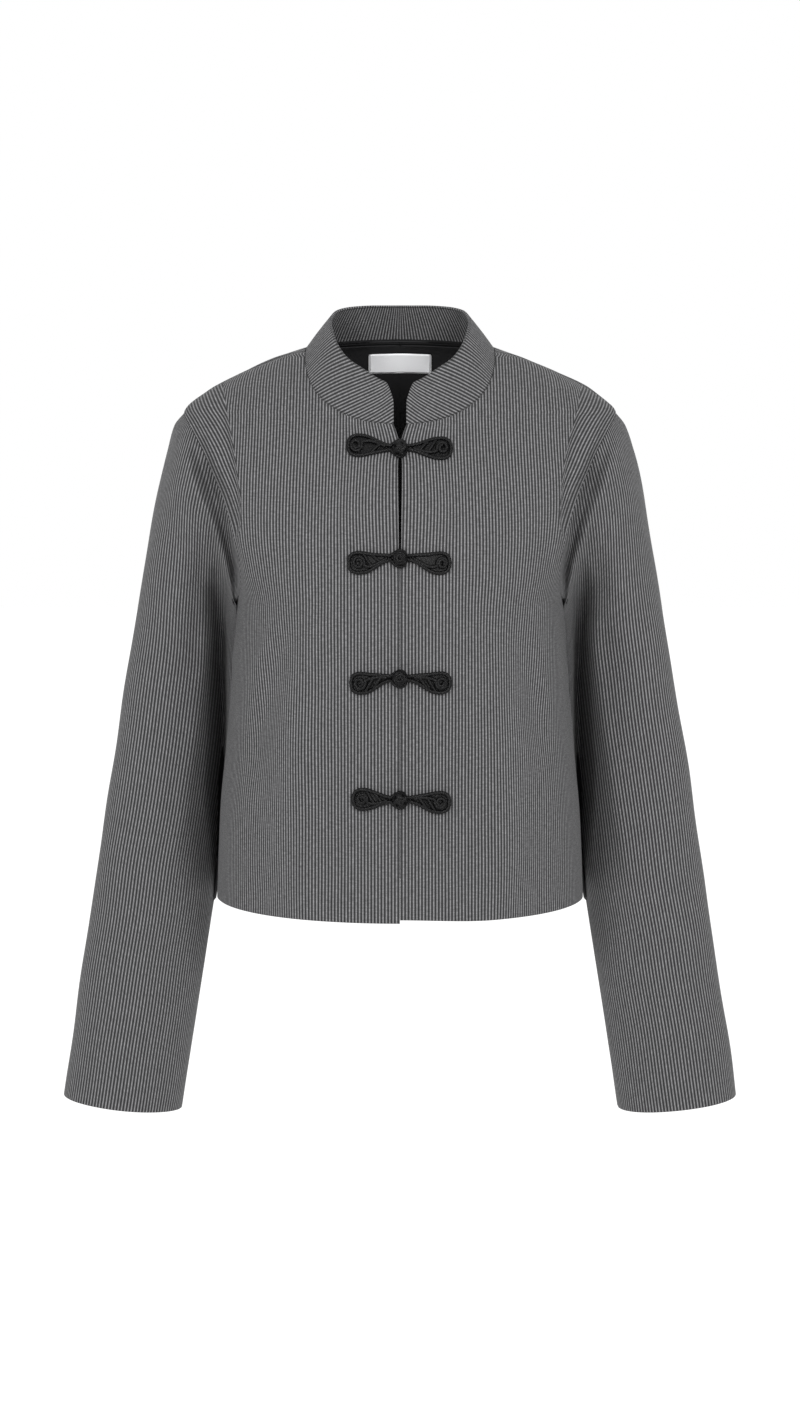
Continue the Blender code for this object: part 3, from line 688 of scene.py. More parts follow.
armhole_line = body_point(*armhole_place(np.linspace(0.0, 360.0, 800)))
neck_line = body_point(*neck_place(np.linspace(NECK_START, 180.0, 400)))
SEAM_CALM = 0.008
SIDE_CALM = 4.0
SEAM_DIP = 0.0125
PANEL_DIP_REACH = 0.010
# Share of the rows beside the armhole that end on the front edge; rows below and beside it, and columns
FRONT_EDGE_ROWS = 6.0 / 14.0
FRONT_FINENESS = (130, 100, 96)


def seam_dip(level):
    """How far the armhole seam is drawn in, most at the front and back of the arm."""
    return SEAM_DIP * ease((-0.066 - level) / 0.050) * ease((level + 0.224) / 0.035)


def front_wall(side):
    def inner_edge(height):
        lower = np.minimum(height / FRONT_EDGE_ROWS, 1.0)
        upper = np.clip((height - FRONT_EDGE_ROWS) / (1.0 - FRONT_EDGE_ROWS), 0.0, 1.0)
        top = neck_place(np.array(NECK_START))[1]
        level = UNDERARM_LEVEL + (top - UNDERARM_LEVEL) * lower
        angle = front_edge_angle(level)
        neck_angle, neck_level = neck_place(NECK_START + (90.0 - NECK_START) * upper ** NECK_CROWDING)
        return np.where(upper > 0.0, neck_angle, angle), np.where(upper > 0.0, neck_level, level)

    def outer_edge(height):
        return armhole_place(180.0 - 180.0 * height)

    angle, level = panel_grid(inner_edge, outer_edge, lambda value: hem_level(value, side), *FRONT_FINENESS)
    angle = np.where(level < FRONT_NECK_LEVEL, np.maximum(angle, front_edge_angle(level)), angle)
    points = body_point(angle, level)
    run = run_from_front(angle, level)
    from_seam = distance_to(points, armhole_line)
    calm = ease(distance_to(points, armhole_line, neck_line) / SEAM_CALM) * ease((90.0 - angle) / SIDE_CALM)
    fold = FOLD_LEFT if side == LEFT else FOLD_RIGHT
    turned = points[..., 0] - read_table(fold, level)[..., 0]
    turned = np.where(level < fold[-1, 0], -1.0, turned)
    sink = ease(turned / FOLD_NEAR_SLOPE) * ease((FOLD_WIDTH - turned) / FOLD_FAR_SLOPE)
    sink = sink * ease((FOLD_TOP_LEVEL - level) / FOLD_TOP_FADE)
    sink = sink * ease((level - FOLD_BOTTOM_LEVEL) / FOLD_BOTTOM_FADE)
    folds = [row[1:] for row in BODY_FOLDS if row[0] == side]
    relief = fold_height(folds, run, level) - FOLD_DEPTH * sink
    quiet = ease(run / 0.05) * ease((level + 0.5) / 0.03)
    relief = (relief + quiet * ripple(run + 0.3 * side, level, CLOTH_RIPPLE)) * calm
    points = points + body_out(angle, level) * relief[..., None]
    points[..., 1] += seam_dip(level) * ease(1.0 - from_seam / PANEL_DIP_REACH)
    at_front = level[:, 0] < FRONT_NECK_LEVEL
    edges = [(points[0], FREE_EDGE), (points[at_front, 0], FREE_EDGE), (points[~at_front, 0], SEAM_EDGE),
             (points[-1], SEAM_EDGE), (points[:, -1], SEAM_EDGE)]
    outer, inner = wall_from_grid(points, grid_out(points), BODY_THICKNESS, edges)
    across = run * (1.0 + STRIPE_SPREAD * ease((level - STRIPE_SPREAD_LEVEL) / STRIPE_SPREAD_REACH))
    across = across - read_table(FRONT_EDGE, level)[..., 0] * (1.0 - ease(run / STRIPE_EDGE_REACH))
    between = np.clip((STRIPE_BOW_TOP - level) / STRIPE_BOW_HEIGHT, 0.0, 1.0)
    bow = np.sin(pi * between) ** 2 * np.exp(-((run - STRIPE_BOW_PLACE) / STRIPE_BOW_HALF_WIDTH) ** 2)
    draw = ease((run - STRIPE_DRAW_PLACE) / STRIPE_DRAW_REACH)
    draw = draw * ease((STRIPE_DRAW_LEVEL - level) / STRIPE_DRAW_FADE)
    across = across - STRIPE_BOW * bow + STRIPE_DRAW * draw
    grain = np.stack((side * across, level), axis=-1)
    turned_grain = np.stack((side * (FOLD_GRAIN_START - from_seam), level), axis=-1)
    above_hem = level - hem_level(angle, side)
    lined = (run > FRONT_FACING) & (above_hem > HEM_TURN_UP)
    return mirrored(outer, side), mirrored(inner, side), grain, turned_grain, turned, lined


front_right = cloth_piece("front_right_cloth", [front_wall(RIGHT)], (suiting, lining_cloth))
front_left = cloth_piece("front_left_cloth", [front_wall(LEFT)], (suiting, lining_cloth))
for piece, node in ((front_right, "front_right"), (front_left, "front_left")):
    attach(piece, "root")
    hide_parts(node)

# The back, cut in one piece and joined to the fronts at the side and shoulder seams.
BACK_NECK_ROWS = 8.0 / 14.0
BACK_FINENESS = (90, 80, 76)
BACK_RIPPLE = 0.0004
BACK_STRIPE_SPREAD = 0.03
RIGHT_BACK_SHARE = 0.7
# Soft folds. Columns: from across, from level, to across, to level, half_width, height
BACK_FOLDS = (
    (0.060, -0.180, 0.085, -0.420, 0.022, -0.0016),
    (0.115, -0.230, 0.140, -0.460, 0.020, 0.0018),
    (0.020, -0.330, 0.030, -0.480, 0.018, 0.0010),
    (0.120, -0.060, 0.100, -0.180, 0.016, -0.0014),
)


def back_edges(margin):
    """Inner and outer edge of half of the back; margin draws the neck edge in."""
    def inner_edge(height):
        share = np.minimum(height / BACK_NECK_ROWS, 1.0)
        level = UNDERARM_LEVEL + (BACK_NECK_LEVEL - margin - UNDERARM_LEVEL) * (1.0 - (1.0 - share) ** 1.5)
        along_neck = np.clip((height - BACK_NECK_ROWS) / (1.0 - BACK_NECK_ROWS), 0.0, 1.0)
        neck_angle, neck_level = neck_place(180.0 - 90.0 * along_neck, margin)
        on_neck = height > BACK_NECK_ROWS
        return np.where(on_neck, neck_angle, 180.0), np.where(on_neck, neck_level, level)

    def outer_edge(height):
        return armhole_place(180.0 + 180.0 * height)

    return inner_edge, outer_edge


def back_wall(side, depth, margin, side_margin, bottom, rows_below, rows_beside, columns):
    """Half of the back or of its lining, at a depth under the body's surface."""
    inner_edge, outer_edge = back_edges(margin)
    angle, level = panel_grid(inner_edge, outer_edge, bottom, rows_below, rows_beside, columns)
    angle = np.maximum(angle, 90.0) + side_margin * crowded(columns)[None, :]
    points = body_point(angle, level)
    run = run_from_front(np.full_like(level, 180.0), level) - run_from_front(angle, level)
    relief = fold_height(BACK_FOLDS, run, level) * (1.0 if side == LEFT else RIGHT_BACK_SHARE)
    relief = relief * ease(run / 0.02) + ease(run / 0.03) * ripple(run - 0.5 * side, level, BACK_RIPPLE)
    relief = relief * ease(distance_to(points, armhole_line, neck_line) / SEAM_CALM)
    relief = relief * ease((angle - 90.0) / SIDE_CALM)
    dip = seam_dip(level) * ease(1.0 - distance_to(points, armhole_line) / PANEL_DIP_REACH)
    points = points + body_out(angle, level) * (relief - depth)[..., None]
    points[..., 1] -= dip
    points[..., 0] = np.where(angle > 179.9999, 0.0, points[..., 0])
    return angle, level, run, points


def joined_back(name, depth, thickness, margin, side_margin, bottom, fineness, materials, lined_from):
    """The back or its lining, both halves in one mesh."""
    walls = []
    for side in (RIGHT, LEFT):
        angle, level, run, points = back_wall(side, depth, margin, side_margin, bottom, *fineness)
        on_neck = angle[:, 0] < 179.9999
        corner = max(int(np.argmax(on_neck)) - 1, 0)
        out = grid_out(points)
        out[: corner + 1, 0, 0] = 0.0
        out = unit(out)
        edges = [(points[0], FREE_EDGE), (points[corner:, 0], SEAM_EDGE), (points[-1], SEAM_EDGE),
                 (points[:, -1], SEAM_EDGE)]
        outer, inner = wall_from_grid(points, -out, thickness, edges)
        across = run * (1.0 + BACK_STRIPE_SPREAD * ease((level - STRIPE_SPREAD_LEVEL) / STRIPE_SPREAD_REACH))
        grain = np.stack((side * across, level), axis=-1)
        walls.append(plain_wall(outer, inner, grain, level - hem_level(angle, RIGHT) > lined_from, side))
    return cloth_piece(name, walls, materials)


back = joined_back(
    "back_cloth", 0.0, BODY_THICKNESS, 0.0, 0.0, lambda angle: hem_level(angle, RIGHT), BACK_FINENESS,
    (suiting, lining_cloth), HEM_TURN_UP,
)
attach(back, "root")
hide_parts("back")

# The sleeves, set into the armholes: full, slightly bent tubes, open at the cuff, whose hem is turned up
# inside. Under the arm the cloth falls into a deep fold beside the body.
# Sections from the seam down. Columns: outer_x, outer_y, outer_z, inner_x, inner_y, inner_z, half_front,
# half_back, hollow
SLEEVE_SECTIONS = np.array((
    (0.2015, 0.0080, -0.0660, 0.1464, 0.0060, -0.2262, 0.0680, 0.0700, 0.0080),
    (0.2100, 0.0090, -0.0930, 0.1462, 0.0200, -0.2360, 0.0650, 0.0660, 0.0050),
    (0.2165, 0.0100, -0.1205, 0.1458, 0.0320, -0.2480, 0.0620, 0.0600, 0.0025),
    (0.2252, 0.0120, -0.1657, 0.1456, 0.0430, -0.2680, 0.0580, 0.0540, 0.0000),
    (0.2368, 0.0150, -0.2336, 0.1480, 0.0500, -0.3000, 0.0530, 0.0500, 0.0000),
    (0.2526, 0.0190, -0.3248, 0.1520, 0.0520, -0.3600, 0.0490, 0.0480, 0.0000),
    (0.2679, 0.0210, -0.4165, 0.1600, 0.0500, -0.4300, 0.0470, 0.0460, 0.0000),
    (0.2816, 0.0190, -0.5088, 0.1728, 0.0400, -0.5165, 0.0450, 0.0450, 0.0000),
    (0.2963, 0.0150, -0.6017, 0.1871, 0.0270, -0.6080, 0.0440, 0.0440, 0.0000),
    (0.3072, 0.0110, -0.6760, 0.1996, 0.0180, -0.6895, 0.0430, 0.0430, 0.0000),
))
SLEEVE_KNOTS = 12
ROWS_PER_KNOT = 16
SLEEVE_BACK_COLUMNS = 56
SLEEVE_FRONT_COLUMNS = 38
SLEEVE_FOLD_COLUMNS = 66
SLEEVE_UNDER_COLUMNS = 7
SLEEVE_FOLD_STARTS = 100.0
SLEEVE_FOLD_ENDS = 165.0
# Rows counted in knots: at the seam, over the cap (first, last, count) and before the edge of the cuff
SEAM_ROWS = (0.0, 0.02, 0.06, 0.13)
CAP_ROWS = (0.22, 1.0, 9)
CUFF_ROWS = (0.028, 0.012, 0.004, 0.0)
SLEEVE_THICKNESS = 0.0019
CUFF_TURN_UP = 0.035
SLEEVE_DIP_REACH = 0.024
SLEEVE_TUCK = 0.0130
SLEEVE_TUCK_PLACE = 0.0085
SLEEVE_TUCK_HALF_WIDTH = 0.0055
SLEEVE_CAP_ENDS = 2.0
CAP_CALM = 0.020
SLEEVE_CALM = 0.02
UNDERARM_CALM = 0.06
HOLLOW_CALM = 0.04
HOLLOW_POWER = 2.6
SOFT_POWER = 2.0
SLEEVE_SEAM_GROOVE = 0.0008
SLEEVE_SEAM_HALF_WIDTH = 0.0016
SLEEVE_LENGTH_SCALE = 2.5
# Lean of the cloth's threads from upright, in degrees. Columns: knot, lean
SLEEVE_LEAN = np.array(((0.0, 13.0), (2.5, 12.5), (5.0, 10.0), (8.0, 8.8), (12.0, 8.5)))
# Folds: places are a share of half of the way round, front positive, and a share of the length times
# SLEEVE_LENGTH_SCALE. Columns: side (0 both), share, along, share, along, half_width, height
SLEEVE_FOLDS = (
    (0, 0.90, 0.10, 0.90, 0.80, 0.070, 0.0020),
    (0, 0.58, 0.30, 0.56, 1.90, 0.050, 0.0030),
    (0, 0.50, 0.22, 0.56, 1.00, 0.100, -0.0075),
    (0, 0.28, 0.05, 0.22, 0.75, 0.080, 0.0016),
    (-1, 0.45, 1.15, 0.30, 1.75, 0.090, -0.0016),
    (1, 0.50, 1.05, 0.34, 1.70, 0.085, -0.0014),
    (-1, -0.60, 0.25, -0.35, 0.95, 0.080, -0.0022),
    (1, -0.55, 0.30, -0.38, 1.05, 0.075, -0.0020),
    (0, -0.80, 0.10, -0.74, 0.90, 0.060, -0.0040),
    (-1, -0.30, 1.20, -0.42, 1.80, 0.090, 0.0014),
    (1, -0.28, 1.30, -0.40, 1.90, 0.090, 0.0012),
)
# Deep shapes under the arm, pressed straight back: the fold between sleeve and body, the soft turn into
# it, and the slack cloth that is pushed forward beside it. Columns: along, share, half_width, depth
SLEEVE_HOLLOW = np.array((
    (0.00, 0.660, 0.120, 0.000),
    (0.22, 0.680, 0.120, 0.008),
    (0.46, 0.680, 0.120, 0.019),
    (0.72, 0.680, 0.105, 0.028),
    (0.95, 0.680, 0.090, 0.036),
    (1.15, 0.695, 0.075, 0.043),
    (1.38, 0.740, 0.066, 0.050),
    (1.62, 0.795, 0.064, 0.050),
    (1.80, 0.880, 0.060, 0.032),
    (2.00, 0.960, 0.040, 0.000),
    (2.50, 0.960, 0.040, 0.000),
))
SLEEVE_SHOULDER = np.array((
    (0.00, 0.500, 0.120, 0.000),
    (0.40, 0.510, 0.120, 0.004),
    (0.90, 0.560, 0.130, 0.009),
    (1.40, 0.660, 0.140, 0.012),
    (1.80, 0.760, 0.140, 0.008),
    (2.10, 0.820, 0.140, 0.000),
    (2.50, 0.820, 0.140, 0.000),
))
SLEEVE_SLACK = np.array((
    (0.00, 0.920, 0.090, 0.000),
    (0.20, 0.920, 0.080, -0.006),
    (0.60, 0.915, 0.080, -0.012),
    (1.00, 0.915, 0.080, -0.015),
    (1.30, 0.920, 0.070, -0.010),
    (1.60, 0.930, 0.060, 0.000),
    (2.50, 0.930, 0.060, 0.000),
))
sleeve_table = np.column_stack((np.linspace(0.0, 1.0, len(SLEEVE_SECTIONS)), SLEEVE_SECTIONS))


def sleeve_point(station, around):
    """Points of the left sleeve: station 0 to 1 from seam to cuff; around 0 top, 90 front, 180 underarm."""
    values = read_table(sleeve_table, station)
    outer = values[..., 0:3]
    inner = values[..., 3:6]
    turn = np.radians(around)[..., None]
    depth = np.where(np.sin(turn) > 0.0, values[..., 6:7], values[..., 7:8])
    point = 0.5 * (outer + inner) + 0.5 * (outer - inner) * np.cos(turn)
    aside = np.concatenate((values[..., 8:9] * np.sin(turn) ** 2, depth * np.sin(turn), 0.0 * turn), axis=-1)
    return point - aside


def smooth_rows(knots, at):
    """Rows on a smooth curve through rows of knots, at places counted in knots."""
    t = length_along(knots)[..., None]
    tangent = np.empty_like(knots)
    tangent[1:-1] = (knots[2:] - knots[:-2]) / (t[2:] - t[:-2])
    tangent[0] = (knots[1] - knots[0]) / (t[1] - t[0])
    tangent[-1] = (knots[-1] - knots[-2]) / (t[-1] - t[-2])
    k = np.minimum(at.astype(int), len(knots) - 2)
    u = (at - k)[:, None, None]
    return curve_between(u, t[k + 1] - t[k], knots, tangent, k)


def tube_out(points):
    """Outward directions of a tube, whose last column lies on its first one."""
    wrapped = np.concatenate((points[:, -2:-1], points, points[:, 1:2]), axis=1)
    out = grid_out(wrapped)[:, 1:-1]
    from_middle = points - points.mean(axis=1, keepdims=True)
    return out * np.sign(np.einsum("ijk,ijk->ij", out, from_middle).mean())


def sleeve_wall(side):
    back_turn = np.linspace(180.0, 0.0, SLEEVE_BACK_COLUMNS)[:-1]
    front_turn = np.concatenate((
        np.linspace(0.0, SLEEVE_FOLD_STARTS, SLEEVE_FRONT_COLUMNS)[:-1],
        np.linspace(SLEEVE_FOLD_STARTS, SLEEVE_FOLD_ENDS, SLEEVE_FOLD_COLUMNS)[:-1],
        np.linspace(SLEEVE_FOLD_ENDS, 180.0, SLEEVE_UNDER_COLUMNS),
    ))
    around = np.concatenate((-back_turn, front_turn))
    seam_angle, seam_level = armhole_place(around)
    seam = body_point(seam_angle, seam_level)
    stations = np.linspace(0.0, 1.0, SLEEVE_KNOTS)
    knots = np.concatenate((seam[None], sleeve_point(*np.meshgrid(stations, around, indexing="ij"))))
    plain_rows = np.linspace(1.0, SLEEVE_KNOTS, (SLEEVE_KNOTS - 1) * ROWS_PER_KNOT + 1)[:-1]
    last_rows = SLEEVE_KNOTS - np.array(CUFF_ROWS)
    at = np.concatenate((SEAM_ROWS, np.linspace(*CAP_ROWS)[:-1], plain_rows, last_rows))
    points = smooth_rows(knots, at)
    points[:, -1] = points[:, 0]
    out = tube_out(points)
    run = length_along(points, 1)
    top = len(back_turn)
    run = run - run[:, top:top + 1]
    half_way = np.where(run > 0.0, run[:, -1:], -run[:, :1])
    down = length_along(points)
    share = run / half_way
    along = (at / SLEEVE_KNOTS * SLEEVE_LENGTH_SCALE)[:, None] + 0.0 * share
    relief = fold_height([row[1:] for row in SLEEVE_FOLDS if row[0] in (0, side)], share, along)
    relief = relief + ripple(run + 0.7 * side, down, CLOTH_RIPPLE)
    relief = relief * ease(down / SLEEVE_CALM) * ease((1.0 - np.abs(share)) / UNDERARM_CALM)
    relief = relief - SLEEVE_SEAM_GROOVE * np.exp(-((half_way - np.abs(run)) / SLEEVE_SEAM_HALF_WIDTH) ** 2)
    relief[:, -1] = relief[:, 0]
    points = points + out * relief[..., None]
    drawn_in = np.where(share > 0.0, 1.0, -1.0) * seam_dip(seam_level)
    points[..., 1] += drawn_in * ease(1.0 - down / SLEEVE_DIP_REACH)
    tuck = seam_dip(seam_level) / SEAM_DIP * np.where(share > 0.0, SLEEVE_TUCK, -0.5 * SLEEVE_TUCK)
    points[..., 1] += tuck * np.exp(-((down - SLEEVE_TUCK_PLACE) / SLEEVE_TUCK_HALF_WIDTH) ** 2)
    flat_points = points.copy()
    shapes = ((SLEEVE_HOLLOW, HOLLOW_POWER), (SLEEVE_SHOULDER, SOFT_POWER), (SLEEVE_SLACK, SOFT_POWER))
    for table, power in shapes:
        row = read_table(table, along[:, 0])[:, None]
        off = np.abs((share - row[..., 0]) / row[..., 1])
        points[..., 1] += row[..., 2] * np.exp(-off ** power) * ease((1.0 - np.abs(share)) / HOLLOW_CALM)
    out = tube_out(points)
    out[:, -1] = out[:, 0]
    edges = [(points[0], SEAM_EDGE), (points[-1], FREE_EDGE)]
    outer, inner = wall_from_grid(points, out, SLEEVE_THICKNESS, edges)
    lean = np.radians(read_table(SLEEVE_LEAN, at)[:, 0])
    thread = np.stack((np.sin(lean), 0.0 * lean, -np.cos(lean)), axis=-1)[:, None, :]
    step = np.diff(flat_points, axis=1)
    step = np.linalg.norm(step - thread * (step * thread).sum(axis=-1, keepdims=True), axis=2)
    across = added_up(step, 1)
    across = across - across[:, top:top + 1]
    outer_line = points[::-1, top]
    offset = np.interp(points[..., 2], outer_line[:, 2], outer_line[:, 0]) - points[..., 0]
    like = int(np.searchsorted(at, SLEEVE_CAP_ENDS))
    for row in range(like):
        for half in (slice(top, None), slice(top, None, -1)):
            reach = np.maximum.accumulate(offset[like, half])
            matched = np.interp(offset[row, half], reach, across[like, half])
            away = ease(np.abs(run[row, half]) / CAP_CALM)
            across[row, half] += away * (matched - across[row, half])
    grain = np.stack((side * across, -down), axis=-1)
    return plain_wall(outer, inner, grain, down[-1:] - down > CUFF_TURN_UP, side)


sleeve_right = cloth_piece("sleeve_right_cloth", [sleeve_wall(RIGHT)], (suiting, lining_cloth))
sleeve_left = cloth_piece("sleeve_left_cloth", [sleeve_wall(LEFT)], (suiting, lining_cloth))
for piece, node in ((sleeve_right, "sleeve_right"), (sleeve_left, "sleeve_left")):
    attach(piece, "root")
    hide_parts(node)

# The stand collar, a curved band of stiffened suiting sewn to the neck. Its front ends are rounded, and
# since the band is cut on a curve, its stripes stand upright at the back and lie over at the front.
# Top edge. Columns: angle, half_width, y, z
COLLAR_TOP = np.array((
    (0.0, 0.0000, -0.0500, -0.0290),
    (16.0, 0.0150, -0.0490, -0.0245),
    (34.0, 0.0310, -0.0440, -0.0150),
    (54.0, 0.0480, -0.0310, -0.0030),
    (74.0, 0.0590, -0.0130, 0.0150),
    (90.0, 0.0622, 0.0030, 0.0275),
    (112.0, 0.0580, 0.0220, 0.0360),
    (138.0, 0.0425, 0.0370, 0.0400),
    (160.0, 0.0215, 0.0440, 0.0410),
    (180.0, 0.0000, 0.0460, 0.0410),
))
COLLAR_FRONT_HALF_GAP = 0.0055
COLLAR_CORNER_LENGTH = 0.0200
COLLAR_CORNER_DROP = 0.50
COLLAR_THICKNESS = 0.0026
COLLAR_CUT_TURN = 0.92
COLLAR_TURN_POWER = 1.9
LINING_OVER_COLLAR = 0.0026
COLLAR_BELLY = 0.0006
COLLAR_SEAT = 0.0002
COLLAR_ROWS = 24
COLLAR_COLUMNS = 150
COLLAR_CROWDING = 1.15
COLLAR_FRONT_REACH = 12.0


def collar_wall():
    q = crowded(COLLAR_COLUMNS, (0.0006, 0.0018, 0.0040)) * 2.0 - 1.0
    rise = crowded(COLLAR_ROWS, (0.004, 0.012, 0.028))
    around = NECK_START + (180.0 - NECK_START) * (1.0 - np.abs(q)) ** COLLAR_CROWDING
    angle, level = neck_place(around)
    foot = body_point(angle, level)
    top = read_table(COLLAR_TOP, around)
    start_top = read_table(COLLAR_TOP, NECK_START)[0]
    top[:, 0] += (COLLAR_FRONT_HALF_GAP - start_top) * (1.0 - ease((around - NECK_START) / COLLAR_FRONT_REACH))
    u = np.clip(1.0 - (foot[:, 0] - COLLAR_FRONT_HALF_GAP) / COLLAR_CORNER_LENGTH, 0.0, 1.0)
    u = np.where(around < 90.0, u, 0.0)
    share = 1.0 - COLLAR_CORNER_DROP * (1.0 - np.sqrt(1.0 - u ** 2))
    points = foot[None] + (top - foot)[None] * share[None, :, None] * rise[:, None, None]
    points[..., 0] *= np.sign(q)[None, :]
    out = grid_out(points)
    centre = np.array((0.0, 0.0, -0.01))
    if np.einsum("ijk,ijk->ij", out, points - centre).mean() < 0.0:
        out = -out
    points = points + out * (COLLAR_BELLY * np.sin(pi * rise)[:, None] - COLLAR_SEAT)[..., None]
    along = length_along(points[0])
    along = along - along[len(q) // 2]
    turn = -COLLAR_CUT_TURN * np.sign(along) * (np.abs(along) / along[-1]) ** COLLAR_TURN_POWER
    step = np.diff(along)
    middle_turn = 0.5 * (turn[1:] + turn[:-1])
    flat_x = added_up(np.cos(middle_turn) * step)
    flat_y = added_up(-np.sin(middle_turn) * step)
    flat_x = flat_x - flat_x[len(q) // 2]
    height = np.linalg.norm(points - points[:1], axis=2)
    grain_x = flat_x[None] + height * np.sin(turn)[None]
    grain_y = flat_y[None] + height * np.cos(turn)[None]
    grain = np.stack((grain_x, grain_y), axis=-1)
    edges = [(points[0], SEAM_EDGE), (points[-1], FREE_EDGE), (points[:, 0], FREE_EDGE),
             (points[:, -1], FREE_EDGE)]
    outer, inner = wall_from_grid(points, out, COLLAR_THICKNESS, edges)
    return plain_wall(outer, inner, grain, height < LINING_OVER_COLLAR)


collar = cloth_piece("collar_cloth", [collar_wall()], (suiting, lining_cloth))
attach(collar, "root")
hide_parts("collar")

# The lining of the back, which shows through the neck. It hangs just inside the back.
LINING_THICKNESS = 0.0010
LINING_DEPTH = 0.0029
LINING_HEM_LEVEL = -0.4650
LINING_NECK_MARGIN = 0.0008
LINING_SIDE_MARGIN = 4.0
LINING_FINENESS = (34, 70, 60)
back_lining = joined_back(
    "back_lining_cloth", LINING_DEPTH, LINING_THICKNESS, LINING_NECK_MARGIN, LINING_SIDE_MARGIN,
    lambda angle: np.full_like(angle, LINING_HEM_LEVEL), LINING_FINENESS, (lining_cloth, lining_cloth), 0.0,
)
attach(back_lining, "root")
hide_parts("back_lining")

# The neck label, a plain white woven tape with heat-cut ends, sewn to the lining by a few stitches at
# each end.
LABEL_HALF_WIDTH = 0.0290
LABEL_TOP_LEVEL = -0.0195
LABEL_BOTTOM_LEVEL = -0.0368
LABEL_DEPTH = 0.0047
LABEL_THICKNESS = 0.0004
LABEL_CORNER = 0.0014
LABEL_EDGE = (0.0004, 0.5)
LABEL_WAVE = 0.00012
LABEL_COLOUR = (0.93, 0.935, 0.95, 1.0)


def label_wall():
    across = (crowded(40, (0.004, 0.012, 0.024)) * 2.0 - 1.0)[None, :]
    rows = crowded(14, (0.008, 0.02, 0.05))[:, None]
    level = LABEL_BOTTOM_LEVEL + (LABEL_TOP_LEVEL - LABEL_BOTTOM_LEVEL) * rows
    half_height = 0.5 * (LABEL_TOP_LEVEL - LABEL_BOTTOM_LEVEL)
    from_middle = np.abs(level - 0.5 * (LABEL_TOP_LEVEL + LABEL_BOTTOM_LEVEL))
    into_corner = np.maximum(from_middle - (half_height - LABEL_CORNER), 0.0)
    rounding = np.sqrt(np.maximum(LABEL_CORNER ** 2 - into_corner ** 2, 0.0))
    half_width = LABEL_HALF_WIDTH - LABEL_CORNER + rounding
    x = across * half_width
    level = level + 0.0 * x
    angle = 180.0 - angle_at(x, level)
    out = body_out(angle, level)
    points = body_point(angle, level) - out * LABEL_DEPTH
    points = points + out * (LABEL_WAVE * np.sin(x * 210.0 + 1.0))[..., None]
    edges = [(line, LABEL_EDGE) for line in (points[0], points[-1], points[:, 0], points[:, -1])]
    outer, inner = wall_from_grid(points, out, LABEL_THICKNESS, edges)
    grain = np.stack((x, level), axis=-1)
    return plain_wall(outer, inner, grain, np.zeros_like(x, bool))


label_cloth = plain_cloth(
    "label_tape", LABEL_COLOUR, shades=(0.96, 1.04), threads=2000.0, slub_stretch=0.5, roughness=0.75,
    gloss=0.2, relief=(0.4, 0.00005),
)
label = cloth_piece("neck_label_tape", [label_wall()], (label_cloth,))
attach(label, "root")
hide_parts("neck_label")

# The stitches at the two ends of the label, one short row of white thread each.
STITCH_INSET = 0.0016
STITCH_END_INSET = 0.0018
STITCH_COUNT = 6
STITCH_LENGTH = 0.0021
STITCH_THREAD = 0.00045
STITCH_TILT = 0.16
STITCH_SEED = 7
THREAD_COLOUR = (0.82, 0.82, 0.85, 1.0)


